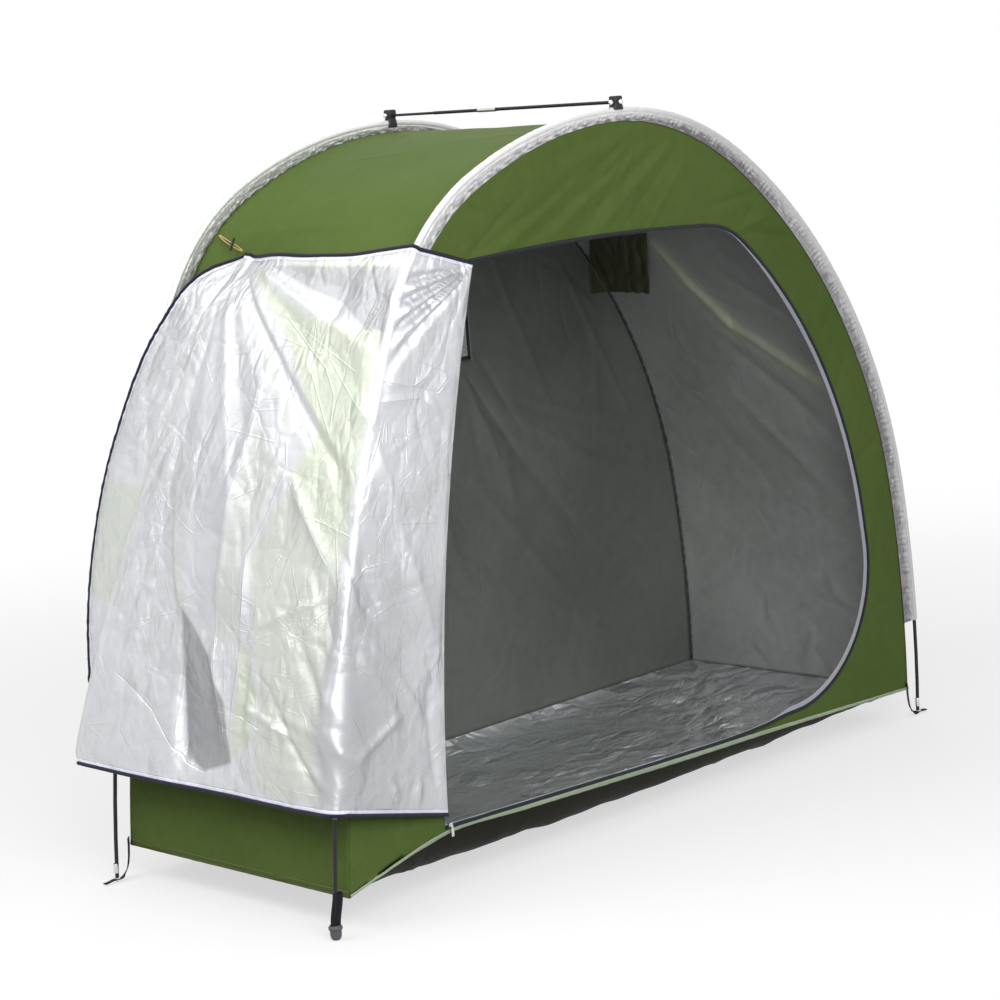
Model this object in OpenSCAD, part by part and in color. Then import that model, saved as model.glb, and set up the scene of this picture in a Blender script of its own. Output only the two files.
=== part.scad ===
// Fabric storage tent on two arched poles, its door flap folded round the front end.
// X runs from the front end (-X) to the rear end, Y from the door side (-Y) to the far side, Z is up.
// The origin lies on the ground, under the middle of the whole tent with its folded flap.

/* [Arched poles] */
// Distance between the front foot and the rear foot of one pole
pole_span = 2086; // [2000:1:2160]
// Height of the pole's centre line at the top of the arch
arch_height = 1644; // [1580:1:1700]
// Distance between the two arch planes
tent_width = 738; // [660:1:840]
// Thickness of the fibreglass poles
pole_d = 9; // [8:0.5:10]
// Lean of the front pole leg from upright, at the ground
front_lean = 3.5; // [3:0.1:4]
// Distance from the arch's top down to the end of the front leg's bend
front_shoulder_drop = 379; // [360:1:400]
// Lean of the rear pole leg from upright, at the ground
rear_lean = -3.5; // [-4:0.1:-3]
// Distance from the arch's top down to the end of the rear leg's bend
rear_shoulder_drop = 1032; // [1000:1:1060]

/* [Fabric shell] */
// Thickness of one fabric panel
cloth = 2; // [1.5:0.1:3]
// Width of the pole sleeve between the pole and the canopy
sleeve_w = 42; // [36:1:48]
// Height of the sleeve's lower ends above the ground
sleeve_end = 255; // [200:1:320]
// Height of the hem of the walls above the ground
hem_z = 76; // [70:1:90]
// Depth that the floor sags below the hem
floor_sag = 34; // [24:1:44]
// Height of the sewn hem band round the foot of the shell
hem_h = 16; // [12:1:20]

/* [Door] */
// Distance from the arch's top down to the door opening's top edge
door_drop = 292; // [270:1:340]
// Height of the door opening's sill
door_sill = 132; // [128:1:150]
// Distance between the pole and the door opening along the rear leg
door_inset = 178; // [160:1:200]
// Radius of the door opening's upper rear corner
door_top_r = 200; // [150:1:240]
// Radius of the door opening's lower rear corner
door_low_r = 330; // [260:1:360]
// Distance of the fold line from the middle of the tent, at the door's top
fold_top_x = 506; // [480:1:540]
// Distance of the fold line from the middle of the tent, at the sill
fold_low_x = 708; // [680:1:740]
// Bow of the fold line to the front, half way up
fold_bow = 45; // [30:1:60]
// Width of the zip fastener
zip_w = 16; // [12:1:20]

/* [Door flap] */
// Height of the folded flap's lower edge
flap_low = 272; // [250:1:300]
// Distance from the arch's top down to the folded flap's upper edge
flap_drop = 239; // [225:1:255]
// Reach of the flap's free edge past the far arch, at its widest
flap_reach = 150; // [100:1:170]
// Reach of the flap's lower corner past the far arch
flap_corner = 104; // [70:1:130]
// Distance of the flap's pinned upper corner inside the far arch
flap_pin = 70; // [50:1:90]
// Height of the flap's lower edge at the fold line
flap_fold_low = 180; // [165:1:200]

/* [Window] */
// Width of the mesh window in the far wall
window_w = 420; // [380:1:460]
// Height of the mesh window
window_h = 250; // [220:1:280]
// Distance from the arch's top down to the window's upper edge
window_drop = 356; // [335:1:395]
// Width of the tape round the window
window_tape = 14; // [10:1:18]

/* [Feet and fittings] */
// Width of the corner straps
strap_w = 25; // [20:1:30]
// Thickness of the corner straps
strap_t = 2.5; // [2:0.1:3]
// Outer width of the front foot cap
cap_d = 25; // [22:1:28]
// Height of the front foot cap
cap_h = 32; // [26:1:40]
// Thickness of the ridge rod
ridge_d = 8; // [7:0.5:9]
// Width of the ridge clips along the tent
clip_w = 26; // [22:1:32]

/* [Hidden] */

green = [0.36, 0.45, 0.20];
dark_green = [0.22, 0.29, 0.13];
silver = [0.80, 0.80, 0.78];
pale_green = [0.66, 0.75, 0.62];
black = [0.06, 0.06, 0.07];
metal = [0.75, 0.75, 0.76];
grey = [0.42, 0.42, 0.42];
cream = [0.86, 0.70, 0.46];

$fn = 64;
arc_steps = 14;
seat = 0.3;
pole_r = pole_d / 2;
sleeve_r = pole_r + seat + cloth;
flap_out = sleeve_r + seat;
// The arches stand off the middle by half of what reaches past them on the two sides.
near_reach = max(strap_w / 2, flap_out + cloth);
mid_y = (near_reach - flap_reach) / 2;
near_y = mid_y - tent_width / 2;
far_y = mid_y + tent_width / 2;
wall_reach = pole_span;
foot_x = pole_span / 2;
door_top = arch_height - door_drop;
flap_top = arch_height - flap_drop;
flap_wide_z = (flap_low + flap_top) / 2;
window_z = arch_height - window_drop - window_h;

// Each half of an arch is a chain of three arcs that meet without a kink.
// An arc is kept as its centre, its radius and the two headings, from upright, at its ends.
front_headings = [front_lean, 23.2, 64.4, 90];
rear_headings = [rear_lean, 8.7, 56.7, 90];

function arc_run(a, b) = cos(a) - cos(b);
function arc_rise(a, b) = sin(b) - sin(a);

// The leg's radius follows from the height below the shoulder, the upper two from what is left above it.
function half_radii(h, drop) =
  let (
    leg_r = (arch_height - drop) / arc_rise(h[0], h[1]),
    run = pole_span / 2 - leg_r * arc_run(h[0], h[1]),
    rise = drop,
    a = arc_run(h[1], h[2]),
    b = arc_run(h[2], h[3]),
    c = arc_rise(h[1], h[2]),
    d = arc_rise(h[2], h[3]),
    det = a * d - b * c
  )
  [leg_r, (run * d - b * rise) / det, (a * rise - c * run) / det];

function half_arcs(h, drop) =
  let (
    r = half_radii(h, drop),
    leg = [pole_span / 2 - r[0] * cos(h[0]), -r[0] * sin(h[0])],
    shoulder = leg + (r[0] - r[1]) * [cos(h[1]), sin(h[1])],
    crown = shoulder + (r[1] - r[2]) * [cos(h[2]), sin(h[2])]
  )
  [[leg, r[0], h[0], h[1]], [shoulder, r[1], h[1], h[2]], [crown, r[2], h[2], h[3]]];

front = half_arcs(front_headings, front_shoulder_drop);
rear = half_arcs(rear_headings, rear_shoulder_drop);

// Heading at which an arc, set in from the pole by a distance, stands at a height.
function heading_at(arc, z, inset) = asin((z - arc[0][1]) / (arc[1] - inset));

function arc_point(arc, heading, inset) = arc[0] + (arc[1] - inset) * [cos(heading), sin(heading)];

// Distance of a half arch from the middle of the tent, at a height on its leg.
function leg_x(half, z, inset) = arc_point(half[0], heading_at(half[0], z, inset), inset)[0];

function half_points(half, inset, low) = [
  for (i = [0:2])
    let (from = i == 0 ? heading_at(half[0], low, inset) : half[i][2])
    for (k = [(i == 0 ? 0 : 1):arc_steps])
      arc_point(half[i], from + (half[i][3] - from) * k / arc_steps, inset)
];

// Closed outline inside an arch, from a height up.
function arch_outline(inset, low) =
  let (up = half_points(rear, inset, low), down = half_points(front, inset, low))
  concat(up, [for (i = [len(down) - 2:-1:0]) [-down[i][0], down[i][1]]]);

// Carries a profile along one arc. The profile's x is the way out of the arch, its y runs to -Y.
module along(arc, from, to) {
  translate([arc[0][0], 0, arc[0][1]])
    rotate([90, 0, 0])
      rotate([0, 0, from])
        rotate_extrude(angle = to - from, $fn = 180)
          translate([arc[1], 0])
            children();
}

module front_side() {
  mirror([1, 0, 0])
    children();
}

// Carries a profile along a whole arch in sections with a hairline joint, from a height up.
module along_arch(low) {
  for (half = [rear, front])
    mirror([half == front ? 1 : 0, 0, 0])
      for (i = [0:2]) {
        joint = seat / 2 / half[i][1] * 180 / PI;
        from = i == 0 ? heading_at(half[0], low, 0) : half[i][2] + joint;
        along(half[i], from, half[i][3] - joint)
          children();
      }
}

// Stands a flat shape in a plane across Y, centred on it.
module upright(y, thick) {
  translate([0, y + thick / 2, 0])
    rotate([90, 0, 0])
      linear_extrude(thick)
        children();
}

// Height at which the bare pole ends in its foot.
foot_top = 12;

module pole(y) {
  color(black)
    along_arch(foot_top)
      translate([0, -y])
        circle(pole_r);
}

module near_pole() {
  pole(near_y);
}

module far_pole() {
  pole(far_y);
}

// A tube round the pole with a flat flange that runs in to the canopy seam.
module sleeve_profile() {
  difference() {
    union() {
      circle(sleeve_r);
      translate([-sleeve_w, -cloth])
        square([sleeve_w, 2 * cloth]);
    }
    circle(pole_r + seat);
  }
}

module sleeve(y) {
  color(silver)
    along_arch(sleeve_end)
      translate([0, -y])
        sleeve_profile();
}

module near_sleeve() {
  sleeve(near_y);
}

module far_sleeve() {
  sleeve(far_y);
}

// The ridge rod lies above the arches and is held by a clip that straddles each sleeve.
clip_rise = 26;
clip_drop = 14;
clip_top = arch_height + sleeve_r + clip_rise;
clip_low = arch_height - clip_drop;
clip_t = 2 * sleeve_r + 10;
ridge_z = arch_height + sleeve_r + 12;
ridge_len = tent_width - clip_t;
ridge_step = 0.2 * ridge_len;
ferrule_len = 58;
ball_d = 12;
ball_sunk = 3;

// The rod is thinner at the far end, and a ferrule joins its two halves.
module ridge_rod() {
  color(black)
    translate([0, mid_y + ridge_len / 2, ridge_z])
      rotate([90, 0, 0]) {
        cylinder(d = ridge_d - 1.5, h = ridge_step + 1);
        translate([0, 0, ridge_step])
          cylinder(d = ridge_d, h = ridge_len - ridge_step);
      }
}

module ridge_ferrule() {
  color(metal)
    translate([0, mid_y + 0.09 * ridge_len, ridge_z])
      rotate([90, 0, 0])
        difference() {
          cylinder(d = ridge_d + 2.5, h = ferrule_len);
          translate([0, 0, -1])
            cylinder(d = ridge_d + seat, h = ferrule_len + 2);
        }
}

module ridge_clip(y) {
  color(black)
    difference() {
      translate([-clip_w / 2, y - clip_t / 2, clip_low])
        cube([clip_w, clip_t, clip_top - clip_low]);
      translate([-clip_w, y - sleeve_r - seat, clip_low - 1])
        cube([2 * clip_w, 2 * (sleeve_r + seat), arch_height + sleeve_r + seat - clip_low + 1]);
    }
}

// A round rivet head, cut flat where it sits on the clip.
module clip_ball() {
  color(metal)
    difference() {
      sphere(d = ball_d);
      translate([-ball_d, -ball_d, -ball_d - ball_sunk])
        cube([2 * ball_d, 2 * ball_d, ball_d]);
    }
}

module near_ridge_clip() {
  ridge_clip(near_y);
}

module far_ridge_clip() {
  ridge_clip(far_y);
}

module front_ball(y) {
  translate([-clip_w / 2 - ball_sunk, y, ridge_z])
    rotate([0, -90, 0])
      clip_ball();
}

module near_clip_balls() {
  front_ball(near_y);
  translate([0, near_y - clip_t / 2 - ball_sunk, ridge_z])
    rotate([90, 0, 0])
      clip_ball();
}

module far_clip_ball() {
  front_ball(far_y);
}

// One panel of the canopy follows one arc, its outer face on the sleeve's seam.
module canopy_profile() {
  translate([-sleeve_w - cloth, -far_y + cloth / 2])
    square([cloth, tent_width - cloth]);
}

module canopy_panel(arc, from, to) {
  color(green)
    along(arc, from, to)
      canopy_profile();
}

module canopy_front() {
  front_side()
    canopy_panel(front[0], heading_at(front[0], hem_z, sleeve_w), front[0][3]);
}

module canopy_front_shoulder() {
  front_side()
    canopy_panel(front[1], front[1][2], front[1][3]);
}

module canopy_front_crown() {
  front_side()
    canopy_panel(front[2], front[2][2], front[2][3]);
}

module canopy_rear_crown() {
  canopy_panel(rear[2], rear[2][2], rear[2][3]);
}

module canopy_rear_shoulder() {
  canopy_panel(rear[1], rear[1][2], rear[1][3]);
}

module canopy_rear() {
  canopy_panel(rear[0], heading_at(rear[0], hem_z, sleeve_w), rear[0][3]);
}

module wall_area() {
  polygon(arch_outline(sleeve_w, hem_z));
}

// The door opening follows the rear leg, with a flat top, a flat sill and a slanting fold line.
module door_area() {
  intersection() {
    rounded(door_low_r)
      door_band(door_sill, 2 * arch_height);
    rounded(door_top_r)
      door_band(0, door_top);
    behind_fold(0);
  }
}

// Everything in front of the door's rear edge, between two heights.
module door_band(low, high) {
  intersection() {
    union() {
      polygon(arch_outline(door_inset, hem_z));
      translate([-wall_reach, 0])
        square([wall_reach, arch_height - door_inset]);
    }
    translate([-wall_reach, low])
      square([2 * wall_reach, high - low]);
  }
}

module rounded(r) {
  offset(r = r)
    offset(delta = -r)
      children();
}

// Everything on the rear side of the fold line, moved to the front by a distance.
module behind_fold(shift) {
  rear_corners = [
    [fold_x(0), 0],
    [wall_reach + shift, 0],
    [wall_reach + shift, 2 * arch_height],
    [fold_x(2 * arch_height), 2 * arch_height]
  ];
  translate([-shift, 0])
    polygon(concat(rear_corners, fold_line(door_top, door_sill)));
}

// The fold line slants to the rear on its way up and bows to the front between the sill and the top.
function fold_x(z) =
  let (
    share = (z - door_sill) / (door_top - door_sill),
    bowed = max(0, min(1, share))
  )
  -fold_low_x + (fold_low_x - fold_top_x) * share - 4 * fold_bow * bowed * (1 - bowed);

fold_steps = 12;

function fold_line(from, to) = [
  for (i = [0:fold_steps])
    let (z = from + (to - from) * i / fold_steps)
    [fold_x(z), z]
];

// The near wall is cut beside, over and under the door opening.
module near_wall_panel() {
  color(green)
    upright(near_y, cloth)
      difference() {
        intersection() {
          wall_area();
          children();
        }
        door_area();
      }
}

module near_wall_front() {
  near_wall_panel()
    difference() {
      translate([-wall_reach, hem_z])
        square([2 * wall_reach, door_top - hem_z]);
      behind_fold(0);
    }
}

module near_wall_top() {
  near_wall_panel()
    translate([-wall_reach, door_top])
      square([2 * wall_reach, arch_height]);
}

module near_wall_rear() {
  near_wall_panel()
    translate([0, door_sill])
      square([wall_reach, door_top - door_sill]);
}

module near_sill() {
  near_wall_panel()
    intersection() {
      translate([-wall_reach, hem_z])
        square([2 * wall_reach, door_sill - hem_z]);
      behind_fold(0);
    }
}

module window_area(margin) {
  translate([-window_w / 2 - margin, window_z - margin])
    square([window_w + 2 * margin, window_h + 2 * margin]);
}

module far_wall() {
  color(green)
    upright(far_y, cloth)
      difference() {
        wall_area();
        window_area(0);
      }
}

module window_mesh() {
  color(grey)
    upright(far_y, cloth / 2)
      window_area(0);
}

module window_frame() {
  color(black)
    upright(far_y - cloth, cloth)
      difference() {
        window_area(window_tape);
        window_area(-2);
      }
}

// The floor hangs between the hems as a shallow trough with upright sides.
rear_hem_x = leg_x(rear, hem_z, sleeve_w);
front_hem_x = -leg_x(front, hem_z, sleeve_w);
floor_steps = 24;

function floor_z(s) = hem_z - floor_sag * 4 * s * (1 - s);

function floor_line(drop) = [
  for (i = [0:floor_steps])
    let (s = i / floor_steps)
    [front_hem_x + (rear_hem_x - front_hem_x) * s, floor_z(s) - drop]
];

function reversed(list) = [for (i = [len(list) - 1:-1:0]) list[i]];

module floor_side(y) {
  upright(y, cloth)
    polygon(concat(floor_line(cloth), [[rear_hem_x, hem_z], [front_hem_x, hem_z]]));
}

module floor() {
  color(black) {
    upright(mid_y, tent_width - cloth)
      polygon(concat(floor_line(0), reversed(floor_line(cloth))));
    floor_side(near_y);
    floor_side(far_y);
  }
}

// Sewn bands along the foot of the shell, on its outside.
module side_hem(y, out) {
  color(pale_green)
    upright(y + out * cloth, cloth)
      translate([front_hem_x, hem_z])
        square([rear_hem_x - front_hem_x, hem_h]);
}

module near_hem() {
  side_hem(near_y, -1);
}

module far_hem() {
  side_hem(far_y, 1);
}

module end_hem(arc) {
  color(dark_green)
    along(arc, heading_at(arc, hem_z, sleeve_w), heading_at(arc, hem_z + hem_h, sleeve_w))
      translate([-sleeve_w, -far_y + cloth])
        square([cloth, tent_width - 2 * cloth]);
}

module front_hem() {
  front_side()
    end_hem(front[0]);
}

module rear_hem() {
  end_hem(rear[0]);
}

// The zip fastener runs round the door opening, on the wall's outer face, and stops short of the fold.
module zip_area() {
  difference() {
    offset(delta = zip_w)
      door_area();
    door_area();
  }
}

module door_zip() {
  color(black)
    upright(near_y - cloth, cloth)
      intersection() {
        zip_area();
        behind_fold(-cloth);
        translate([-wall_reach, hem_z + hem_h])
          square([2 * wall_reach, arch_height]);
      }
}

pull_w = 9;
pull_h = 26;
pull_gap = 12;

module zip_pull() {
  color(metal)
    translate([fold_x(door_sill) + pull_gap, near_y - 2.5 * cloth, door_sill - cloth])
      cube([pull_w, 2 * cloth, pull_h], center = true);
}

// The flap leaves the wall at the fold line, passes outside the sleeve and turns round the pole.
flap_y = near_y - flap_out - cloth / 2;
flap_turn_x = -arc_point(front[1], heading_at(front[1], flap_top, 0), 0)[0];

module flap_side_area() {
  intersection() {
    polygon(arch_outline(-flap_out, hem_z));
    polygon(concat(
      [[-wall_reach, flap_low], [-leg_x(front, flap_low, 0), flap_low]],
      fold_line(flap_fold_low, door_top),
      [[flap_turn_x, flap_top], [-wall_reach, flap_top]]
    ));
  }
}

// The fold itself closes the step between the wall and the flap.
module flap_fold_area() {
  intersection() {
    difference() {
      behind_fold(cloth);
      behind_fold(0);
    }
    translate([-wall_reach, flap_fold_low])
      square([wall_reach, door_top - flap_fold_low]);
  }
}

module flap_side() {
  color(silver) {
    upright(flap_y, cloth)
      flap_side_area();
    upright((near_y - cloth / 2 + flap_y) / 2, near_y - cloth / 2 - flap_y)
      flap_fold_area();
  }
}

// Free edge of the flap, seen from the front: widest half way up, drawn in to the pin at the top.
function flap_edge_y(z) =
  z < flap_wide_z
    ? flap_reach - (flap_reach - flap_corner) * pow((flap_wide_z - z) / (flap_wide_z - flap_low), 2)
    : flap_reach - (flap_reach + flap_pin) * pow((z - flap_wide_z) / (flap_top - flap_wide_z), 2.4);

flap_steps = 16;

module flap_outline() {
  edge = [
    for (i = [0:flap_steps])
      let (z = flap_low + (flap_top - flap_low) * i / flap_steps)
      [far_y + flap_edge_y(z), z]
  ];
  polygon(concat([[flap_y - cloth / 2, flap_low]], edge, [[flap_y - cloth / 2, flap_top]]));
}

// A skin over the front arch, at a distance outside the pole, cut to an outline seen from the front.
// It bends in two stretches with a hairline joint, like the sleeves.
module front_skin(out) {
  intersection() {
    front_side()
      for (i = [0:1]) {
        joint = seat / 2 / front[i][1] * 180 / PI;
        from = i == 0 ? heading_at(front[0], hem_z, 0) : front[i][2] + joint;
        along(front[i], from, front[i][3] - joint)
          translate([out, -far_y - 2 * flap_reach])
            square([cloth, tent_width + 3 * flap_reach]);
      }
    translate([-pole_span, 0, 0])
      rotate([90, 0, 90])
        linear_extrude(pole_span)
          children();
  }
}

module flap_front() {
  color(silver)
    front_skin(flap_out)
      flap_outline();
}

module flap_zip() {
  color(black)
    front_skin(flap_out + cloth)
      difference() {
        flap_outline();
        translate([-zip_w, zip_w])
          flap_outline();
      }
}

// An elastic loop and a small stick hold the flap's pinned corner to the far sleeve.
toggle_h = heading_at(front[1], flap_top + 14, 0);
toggle_at = arc_point(front[1], toggle_h, -sleeve_r);
loop_w = 9;
loop_len = flap_pin + 10;
stick_d = 6;
stick_len = 36;

// The loop lies on the sleeve with its length along Y, its broad face out of the arch.
module at_toggle() {
  translate([-toggle_at[0], far_y, toggle_at[1]])
    rotate([0, -90 + toggle_h, 0])
      children();
}

module toggle_loop() {
  color(cream)
    at_toggle()
      translate([-loop_w / 2, -loop_len, seat])
        cube([loop_w, loop_len + 4, 3]);
}

module toggle() {
  color(black)
    at_toggle()
      translate([-stick_len / 2, -0.7 * loop_len, 3 + 2 * seat + stick_d / 2])
        rotate([0, 90, 0])
          cylinder(d = stick_d, h = stick_len);
}

// A piece of the outer cloth is sewn inside, bent round the seam of the far rear shoulder.
patch_h = 160;
patch_drop = 334;
patch_high = arch_height - patch_drop;
patch_low = patch_high - patch_h;
patch_on_canopy = 180;
patch_on_wall = 65;
patch_x = arc_point(rear[1], heading_at(rear[1], patch_low, sleeve_w), sleeve_w)[0] - patch_on_wall;

module inner_patch() {
  inset = sleeve_w + cloth + seat;
  color(dark_green) {
    upright(far_y - cloth, cloth)
      intersection() {
        polygon(arch_outline(inset, hem_z));
        translate([patch_x, patch_low])
          square([wall_reach, patch_high - patch_low]);
      }
    along(rear[1], heading_at(rear[1], patch_low, inset), heading_at(rear[1], patch_high, inset))
      translate([-inset - cloth, -far_y + cloth / 2])
        square([cloth, patch_on_canopy]);
  }
}

// A strap runs from each hem corner to the pole tip and ends in a flat tab with an eyelet.
tab_len = 80;
tab_z = 6;
tip_d = pole_d - 1;
strap_x = foot_x - sleeve_w - strap_t;

// Underside of the floor at a distance from the middle of the tent.
function floor_under(x) =
  floor_z((x - front_hem_x) / (rear_hem_x - front_hem_x)) - cloth;

module corner_strap(away, y) {
  top = floor_under(away * strap_x) - seat;
  color(black)
    mirror([away > 0 ? 0 : 1, 0, 0]) {
      translate([strap_x, y - strap_w / 2, tab_z])
        cube([strap_t, strap_w, top - tab_z]);
      difference() {
        translate([strap_x, y - strap_w / 2, tab_z - strap_t / 2])
          cube([tab_len, strap_w, strap_t]);
        translate([foot_x, y, 0])
          cylinder(d = tip_d + 2 * seat, h = 2 * tab_z);
      }
    }
}

// The near front strap slants from the hem corner on to the pole and ends in the foot cap.
module near_front_strap() {
  color(black)
    upright(near_y - pole_r - seat - strap_t / 2, strap_t)
      polygon([
        [-foot_x - strap_w / 2, cap_h + seat],
        [-foot_x + strap_w / 2, cap_h + seat],
        [front_hem_x + 0.2 * strap_w, hem_z + hem_h / 2],
        [front_hem_x - strap_w, hem_z + hem_h]
      ]);
}

module near_rear_strap() {
  corner_strap(1, near_y);
}

module far_front_strap() {
  corner_strap(-1, far_y);
}

module far_rear_strap() {
  corner_strap(1, far_y);
}

module pole_tip(x, y) {
  color(metal)
    translate([x, y, 0])
      cylinder(d = tip_d, h = foot_top - 2 * seat);
}

// A round cap with a collar, bored for the pole's end.
module near_front_foot() {
  color(grey)
    translate([-foot_x, near_y, 0])
      difference() {
        union() {
          cylinder(d1 = 0.7 * cap_d, d2 = cap_d, h = 0.25 * cap_h);
          translate([0, 0, 0.25 * cap_h])
            cylinder(d = cap_d, h = 0.75 * cap_h);
          translate([0, 0, 0.72 * cap_h])
            cylinder(d = cap_d + 5, h = 0.16 * cap_h);
        }
        translate([0, 0, foot_top - 2 * seat])
          cylinder(d = pole_d + 3, h = cap_h);
      }
}

module near_rear_foot() {
  pole_tip(foot_x, near_y);
}

module far_front_foot() {
  pole_tip(-foot_x, far_y);
}

module far_rear_foot() {
  pole_tip(foot_x, far_y);
}

near_pole();
far_pole();
near_sleeve();
far_sleeve();
ridge_rod();
ridge_ferrule();
near_ridge_clip();
far_ridge_clip();
near_clip_balls();
far_clip_ball();
canopy_front();
canopy_front_shoulder();
canopy_front_crown();
canopy_rear_crown();
canopy_rear_shoulder();
canopy_rear();
near_wall_front();
near_wall_top();
near_wall_rear();
near_sill();
far_wall();
window_mesh();
window_frame();
floor();
near_hem();
far_hem();
front_hem();
rear_hem();
door_zip();
zip_pull();
flap_side();
flap_front();
flap_zip();
toggle_loop();
toggle();
inner_patch();
near_front_strap();
near_rear_strap();
far_front_strap();
far_rear_strap();
near_front_foot();
near_rear_foot();
far_front_foot();
far_rear_foot();
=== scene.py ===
"""Fabric storage tent on two arched poles: cloth, zips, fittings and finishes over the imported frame."""

import bmesh
import bpy
import numpy as np
from mathutils import Matrix


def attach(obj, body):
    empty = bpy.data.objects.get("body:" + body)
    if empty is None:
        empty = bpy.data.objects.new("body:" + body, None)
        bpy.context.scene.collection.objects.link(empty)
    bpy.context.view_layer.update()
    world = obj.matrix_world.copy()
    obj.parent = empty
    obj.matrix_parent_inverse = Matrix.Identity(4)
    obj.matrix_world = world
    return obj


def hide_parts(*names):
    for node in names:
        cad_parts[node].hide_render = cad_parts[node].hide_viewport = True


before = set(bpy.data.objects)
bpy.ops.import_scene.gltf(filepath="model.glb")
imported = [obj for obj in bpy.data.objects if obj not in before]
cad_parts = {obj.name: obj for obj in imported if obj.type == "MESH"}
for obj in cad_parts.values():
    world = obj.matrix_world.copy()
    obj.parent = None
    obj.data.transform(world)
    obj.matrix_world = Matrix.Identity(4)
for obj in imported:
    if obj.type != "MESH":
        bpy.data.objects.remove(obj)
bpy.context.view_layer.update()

# Sizes in metres, as in the part's source.
SPAN, HEIGHT, WIDTH = 2.086, 1.644, 0.738
MID_Y = -0.06875
NEAR_Y, FAR_Y = MID_Y - WIDTH / 2, MID_Y + WIDTH / 2
FRONT_TURNS = np.radians([3.5, 23.2, 64.4, 90.0])
REAR_TURNS = np.radians([-3.5, 8.7, 56.7, 90.0])
FRONT_DROP, REAR_DROP = 0.379, 1.032
SLEEVE_R, SLEEVE_W, SLEEVE_END = 0.0076, 0.042, 0.255
HEM_Z, HEM_H, FLOOR_SAG = 0.076, 0.016, 0.034
DOOR_TOP, DOOR_SILL, DOOR_INSET = 1.352, 0.132, 0.178
DOOR_TOP_R, DOOR_LOW_R = 0.200, 0.330
FOLD_TOP_X, FOLD_LOW_X, FOLD_BOW = -0.506, -0.708, 0.045
WINDOW = (-0.210, 0.210, 1.038, 1.288)


# Small helpers for points

def stacked(*parts):
    """Coordinates of any matching shapes as one grid of points."""
    return np.stack(np.broadcast_arrays(*parts), -1)


def unit(v):
    """Directions scaled to a length of 1."""
    return v / np.linalg.norm(v, axis=-1, keepdims=True)


def lengths_along(line):
    """Distance of each point of a line from its start, measured along it."""
    return np.concatenate([[0], np.cumsum(np.linalg.norm(np.diff(line, axis=0), axis=1))])


def capped(rings):
    """The same rings with both ends closed to the middle of the end ring."""
    ends = np.broadcast_to(rings[[0, -1]].mean(1, keepdims=True), (2,) + rings.shape[1:])
    return np.concatenate([ends[:1], rings, ends[1:]])


# The pole line

def half_arch(turns, drop):
    """One half of an arch as three arcs that meet without a kink: centres, radii, headings and lengths so far."""
    c, s = np.cos(turns), np.sin(turns)
    leg = (HEIGHT - drop) / (s[1] - s[0])
    run = SPAN / 2 - leg * (c[0] - c[1])
    upper = np.linalg.solve([[c[1] - c[2], c[2] - c[3]], [s[2] - s[1], s[3] - s[2]]], [run, drop])
    radii = np.array([leg, *upper])
    first = np.array([SPAN / 2 - leg * c[0], -leg * s[0]])
    second = first + (radii[0] - radii[1]) * np.array([c[1], s[1]])
    third = second + (radii[1] - radii[2]) * np.array([c[2], s[2]])
    lengths = np.concatenate([[0.0], np.cumsum(radii * np.diff(turns))])
    return np.array([first, second, third]), radii, turns, lengths


def half_at(half, run):
    """Point and outward direction at a run up one half from its foot: centre plus radius times heading."""
    centres, radii, turns, lengths = half
    i = np.clip(np.searchsorted(lengths, run, side="right") - 1, 0, 2)
    h = np.interp(run, lengths, turns)
    n = np.stack([np.cos(h), np.sin(h)], -1)
    return centres[i] + radii[i][..., None] * n, n


def run_at(half, z, inset):
    """Run up one half at which a line set in from the pole reaches a height."""
    run = np.linspace(0.0, half[3][-1], 4000)
    p, n = half_at(half, run)
    return np.interp(z, (p - inset * n)[:, 1], run)


FRONT = half_arch(FRONT_TURNS, FRONT_DROP)
REAR = half_arch(REAR_TURNS, REAR_DROP)
FRONT_RUN, REAR_RUN = FRONT[3][-1], REAR[3][-1]
ARCH_RUN = FRONT_RUN + REAR_RUN


def arch(s):
    """Point and outward direction on the pole line, s metres from the front foot over the top to the rear foot."""
    s = np.asarray(s, float)
    pf, nf = half_at(FRONT, np.clip(s, 0.0, FRONT_RUN))
    pr, nr = half_at(REAR, np.clip(ARCH_RUN - s, 0.0, REAR_RUN))
    flip = np.array([-1.0, 1.0])
    front = (s < FRONT_RUN)[..., None]
    return np.where(front, pf * flip, pr), np.where(front, nf * flip, nr)


def on_arch(s, out, y):
    """Points at a distance out of the pole line, in the plane y."""
    p, n = arch(s)
    q = p + np.asarray(out, float)[..., None] * n
    return stacked(q[..., 0], y, q[..., 1])


# Curves, waves and folds

def seam_in(s):
    """Distance of the canopy seam inside the pole line: wide down the legs, narrow over the top."""
    return through(np.asarray(s, float), [0.0, 1.2, 1.5, 1.75, 2.0, 2.2, 2.45, 2.8, 3.2, 5.0],
                   [0.042, 0.040, 0.033, 0.030, 0.024, 0.021, 0.028, 0.038, 0.042, 0.042])


def through(t, xs, ys):
    """Smooth curve through points: cubic pieces with the slope at each point taken from its two neighbours."""
    xs, ys = np.asarray(xs, float), np.asarray(ys, float)
    slope = np.gradient(ys, xs)
    i = np.clip(np.searchsorted(xs, t) - 1, 0, len(xs) - 2)
    h = xs[i + 1] - xs[i]
    q = np.clip((t - xs[i]) / h, 0.0, 1.0)
    return ((1 + 2 * q) * (1 - q) ** 2 * ys[i] + q * (1 - q) ** 2 * h * slope[i]
            + q ** 2 * (3 - 2 * q) * ys[i + 1] + q ** 2 * (q - 1) * h * slope[i + 1])


def ease(t):
    """Rises smoothly from 0 to 1 while t goes from 0 to 1."""
    t = np.clip(t, 0.0, 1.0)
    return t * t * (3 - 2 * t)


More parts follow.
